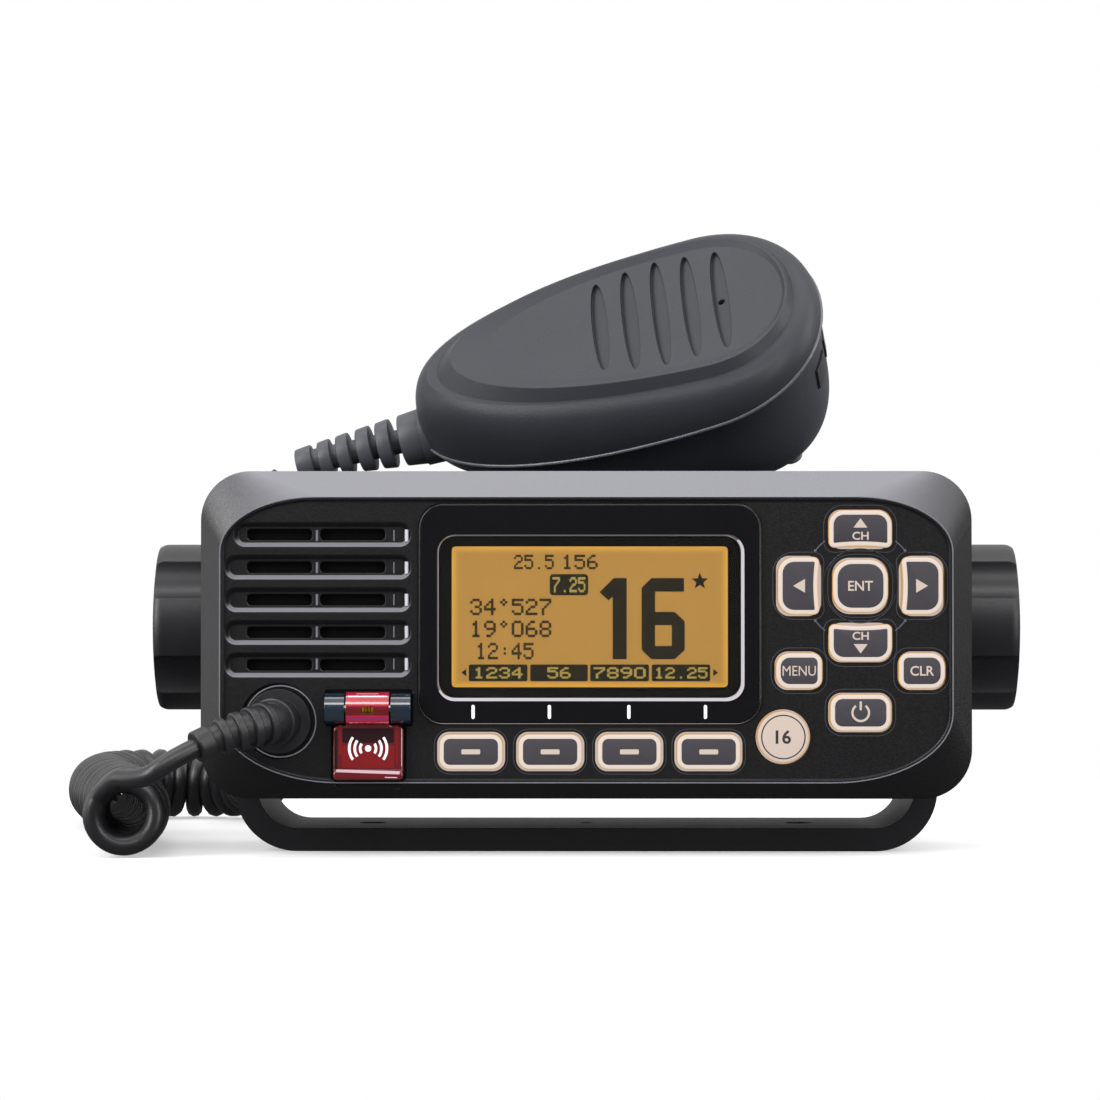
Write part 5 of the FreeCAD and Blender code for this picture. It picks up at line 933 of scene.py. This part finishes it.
def microphone_boot():
    """A tapered boot at the cord's end of the microphone: a slim core with wide ribs and a tip."""
    whole = BOOT_LENGTH + BOOT_INSIDE
    far, near = BOOT_ROUNDING
    profile = [(-BOOT_INSIDE, 0), (-BOOT_INSIDE, BOOT_BIG)]
    for start, end in BOOT_RIBS:
        start, end = start * BOOT_LENGTH, end * BOOT_LENGTH
        first, last = (BOOT_BIG + (BOOT_SMALL - BOOT_BIG) * (along + BOOT_INSIDE) / whole
                       for along in (start, end))
        profile += [(start, BOOT_CORE), (start, first - far), (start + near, first - near),
                    (start + far, first), (end - far, last), (end - near, last - near), (end, last - far),
                    (end, BOOT_CORE)]
    profile[2:4] = [(0.1, BOOT_BIG)]             # the first rib is the root itself
    profile[-1] = (BOOT_LENGTH, 0)
    form = bmesh.new()
    rings = []
    for along, radius in profile:
        sweep = circle(0, 0, radius, BOOT_SIDES) if radius else [(0, 0)]
        rings.append(ring_of(form, [MIC_PLACE @ Vector((MIC_MIDDLE - MIC_TAIL - along, y, z - BOOT_DROP)) * MM
                                    for y, z in sweep]))
    for first, last in zip(rings, rings[1:]):
        for k in range(BOOT_SIDES):
            spots = [first[k % len(first)], first[(k + 1) % len(first)],
                     last[(k + 1) % len(last)], last[k % len(last)]]
            form.faces.new(list(dict.fromkeys(spots)))
    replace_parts(piece("microphone_boot", form, MIC_BOOT_RUBBER, "microphone"), "mic_boot")


microphone_seam()
microphone_boot()


# ---------------------------------------------------------------- the curly cord

CORD_SIZE = 4 * MM
CURL_RADIUS = 6.4 * MM
CURL_PITCH = 5.5 * MM
CURL_START = -135                # degrees round the coil at which the first curl starts
CURL_POINTS = 16                 # points in each curl
# the lead's last point is where the plain wire turns into the first curl
LEAD = [(-77.6, -60, 22.7), (-82.7, -62.8, 20.2), (-87.5, -63.2, 16.2), (-93.6, -57, 16.6)]
COIL = [(-93.3, -49, 8.7), (-94.6, -22, 8.5), (-98.6, 7, 8.6), (-104.9, 37, 8.5), (-110.4, 64, 8.6),
        (-114, 86.5, 8.5), (-113, 106.5, 8.6), (-103.4, 117.2, 8.5), (-89, 117.4, 8.6), (-79.2, 107, 9),
        (-77.9, 92.5, 12.6), (-78.5, 77, 22.5), (-78.9, 63.5, 35.5), (-78.2, 51.5, 51), (-76.2, 42.5, 68)]
TAIL = [(-73.6, 38.6, 76.4), (-68.6, 37, 80.3)]


def nurbs(name, points, resolution):
    """A smooth curve led by points in metres."""
    curve = bpy.data.curves.new(name, "CURVE")
    curve.dimensions = "3D"
    spline = curve.splines.new("NURBS")
    spline.points.add(len(points) - 1)
    for spot, point in zip(spline.points, points):
        spot.co = (*point, 1)
    spline.order_u = 3
    spline.use_endpoint_u = True
    spline.resolution_u = resolution
    return curve


def smooth_line(route, samples):
    """Points in metres along the smooth line through a route in millimetres."""
    curve = nurbs("route", [Vector(point) * MM for point in route], samples)
    holder = bpy.data.objects.new("route", curve)
    mesh = bpy.data.meshes.new_from_object(holder)
    line = [v.co.copy() for v in mesh.vertices]
    for data, owner in ((holder, bpy.data.objects), (curve, bpy.data.curves), (mesh, bpy.data.meshes)):
        owner.remove(data)
    return line


def length_of(line):
    return sum((b - a).length for a, b in zip(line, line[1:]))


def evenly(line, count):
    """The same line as a number of evenly spaced points, each with the line's direction there."""
    step, walked, spots = length_of(line) / (count - 1), 0.0, []
    for a, b in zip(line, line[1:]):
        stretch = (b - a).length
        while len(spots) * step <= walked + stretch + 1e-9 and len(spots) < count:
            spots.append(a.lerp(b, (len(spots) * step - walked) / stretch))
        walked += stretch
    directions = [(spots[min(i + 1, count - 1)] - spots[max(i - 1, 0)]).normalized() for i in range(count)]
    return spots, directions


def curls(line):
    """A helix about the line. Its side vector is carried along, so the turns never twist."""
    count = int(length_of(line) / CURL_PITCH * CURL_POINTS) + 1
    side = Vector((1, 0, 0))
    helix = []
    for i, (spot, along) in enumerate(zip(*evenly(line, count))):
        side = (side - along * side.dot(along)).normalized()
        other = along.cross(side)
        angle = math.radians(CURL_START) - 2 * math.pi * i / CURL_POINTS
        helix.append(spot + (side * math.cos(angle) + other * math.sin(angle)) * CURL_RADIUS)
    return helix


def curly_cord():
    """Lead, curls and tail as one wire."""
    points = smooth_line(LEAD, 6) + curls(smooth_line(COIL, 24)) + smooth_line(TAIL, 6)
    curve = nurbs("curly_cord", points, 3)
    curve.bevel_depth = CORD_SIZE / 2
    curve.bevel_resolution = 3
    curve.use_fill_caps = True
    curve.materials.append(CORD_JACKET)
    wire = bpy.data.objects.new("curly_cord", curve)
    bpy.context.scene.collection.objects.link(wire)
    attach(wire, "radio")
    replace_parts(wire, "cord_lead", "cord_coil", "cord_tail")


curly_cord()


# ---------------------------------------------------------------- floor, light and camera

FLOOR_HALF = 0.6                 # metres from the middle of the floor to its sides
FLOOR_FADE = (0.1, 0.45)         # metres from the object at which the floor starts and ends fading
FLOOR_CLEAR = 0.4                # how far it has faded already under the object


def pale_floor():
    """A pale floor that holds the shadows near the object and fades into the white surround."""
    paper = empty(bpy.data.materials, "pale_paper")
    reach = add(paper, "VectorMath", {0: add(paper, "TexCoord").outputs["Object"]}, operation="LENGTH")
    fade = add(paper, "MapRange", {"Value": reach.outputs["Value"], "From Min": FLOOR_FADE[0],
                                   "From Max": FLOOR_FADE[1], "To Min": FLOOR_CLEAR},
               interpolation_type="SMOOTHSTEP")
    mirrored = add(paper, "LightPath").outputs["Is Glossy Ray"]
    tone = add(paper, "Mix", {"Factor": mirrored, 6: linear("#fafafa"), 7: linear("#2c2c30")},
               data_type="RGBA")
    matt = add(paper, "BsdfDiffuse", {"Color": tone.outputs[2]})
    clear = add(paper, "BsdfTransparent", {"Color": linear("#ffffff")})
    mixed = add(paper, "MixShader", {0: fade.outputs[0], 1: matt.outputs[0], 2: clear.outputs[0]})
    add(paper, "OutputMaterial", {"Surface": mixed.outputs[0]})
    mesh = bpy.data.meshes.new("floor")
    corners = [(sx * FLOOR_HALF, sy * FLOOR_HALF, 0) for sx, sy in ((-1, -1), (1, -1), (1, 1), (-1, 1))]
    mesh.from_pydata(corners, [], [(0, 1, 2, 3)])
    mesh.materials.append(paper)
    floor = bpy.data.objects.new("floor", mesh)
    bpy.context.scene.collection.objects.link(floor)


SURROUND = 0.75                  # strength of the surround where it lights matt surfaces
OVERHEAD = (-0.3, -0.1, 0.95)    # the direction in which reflections are brightest
# from how well a ray meets that direction to its strength
ROOM = {"From Min": -0.6, "From Max": 1.0, "To Min": 0.25, "To Max": 1.3}
AHEAD = (0.0, -1.0, 0.0)         # the direction in which they are dimmed
DIM = {"From Min": 0.7, "From Max": 0.97, "To Min": 1.0, "To Max": 0.22}     # likewise, to the share left


def world_light():
    """A plain soft surround that shows as white; its reflections are bright above and dim straight ahead."""
    world = empty(bpy.data.worlds, "surround")
    bpy.context.scene.world = world
    path = add(world, "LightPath")
    way = add(world, "TexCoord").outputs["Generated"]
    above = add(world, "VectorMath", {0: way, 1: OVERHEAD}, operation="DOT_PRODUCT")
    room = add(world, "MapRange", {"Value": above.outputs["Value"], **ROOM}, interpolation_type="SMOOTHSTEP")
    ahead = add(world, "VectorMath", {0: way, 1: AHEAD}, operation="DOT_PRODUCT")
    dim = add(world, "MapRange", {"Value": ahead.outputs["Value"], **DIM}, interpolation_type="SMOOTHSTEP")
    tent = add(world, "Math", {0: room.outputs[0], 1: dim.outputs[0]}, operation="MULTIPLY")
    plain = add(world, "Mix", {"Factor": path.outputs["Is Glossy Ray"], 2: SURROUND, 3: tent.outputs[0]})
    seen = add(world, "Math", {0: path.outputs["Is Camera Ray"], 1: path.outputs["Is Transmission Ray"]},
               operation="MAXIMUM")
    strength = add(world, "Mix", {"Factor": seen.outputs[0], 2: plain.outputs[0], 3: 1.0})
    glow = add(world, "Background", {"Color": linear("#ffffff"), "Strength": strength.outputs[0]})
    add(world, "OutputWorld", {"Surface": glow.outputs[0]})


LAMPS = {
    # name: place, aim and size in metres, and watts
    "overhead": ((0, 0.02, 0.8), (0, 0, 0.05), (1.3, 0.32), 4),
    "front_left": ((-0.75, -0.55, 0.45), (0, 0, 0.06), (0.4, 0.8), 10),
    "front_right": ((0.85, -0.75, 0.3), (0, 0, 0.06), (0.3, 0.8), 5),
    "left": ((-0.9, 0.08, 0.12), (0, 0, 0.05), (0.3, 0.5), 1),
    "front_high": ((0.2, -0.9, 0.75), (0, 0, 0.08), (1.0, 0.3), 6),
    "back_right": ((0.8, 0.1, 0.45), (0.05, 0, 0.08), (0.25, 0.6), 3),
}


def lamp(name):
    """A rectangular soft lamp that looks at a point."""
    place, aim, size, watts = LAMPS[name]
    light = bpy.data.lights.new(name, "AREA")
    light.shape = "RECTANGLE"
    light.size, light.size_y = size
    light.energy = watts
    holder = bpy.data.objects.new(name, light)
    bpy.context.scene.collection.objects.link(holder)
    holder.location = place
    holder.rotation_euler = (Vector(aim) - Vector(place)).to_track_quat("-Z", "Y").to_euler()


EYE = (0, -847.5, 47.9)          # the camera's place
FRAME_WIDTH = 1100               # the frame's width; the next two are in the same units
FOCAL_LENGTH = 3960
AIM = (-36, FOCAL_LENGTH, 71)    # a hair to the left and above straight ahead
SENSOR = 36


def camera():
    """A camera a little above the floor, nearly level."""
    data = bpy.data.cameras.new("camera")
    data.sensor_width = SENSOR
    data.lens = FOCAL_LENGTH / FRAME_WIDTH * SENSOR
    data.clip_start = 0.01
    data.clip_end = 100
    holder = bpy.data.objects.new("camera", data)
    bpy.context.scene.collection.objects.link(holder)
    holder.location = Vector(EYE) * MM
    holder.rotation_euler = Vector(AIM).to_track_quat("-Z", "Y").to_euler()
    bpy.context.scene.camera = holder


pale_floor()
world_light()
for name in LAMPS:
    lamp(name)
camera()
bpy.context.scene.view_settings.view_transform = "Standard"
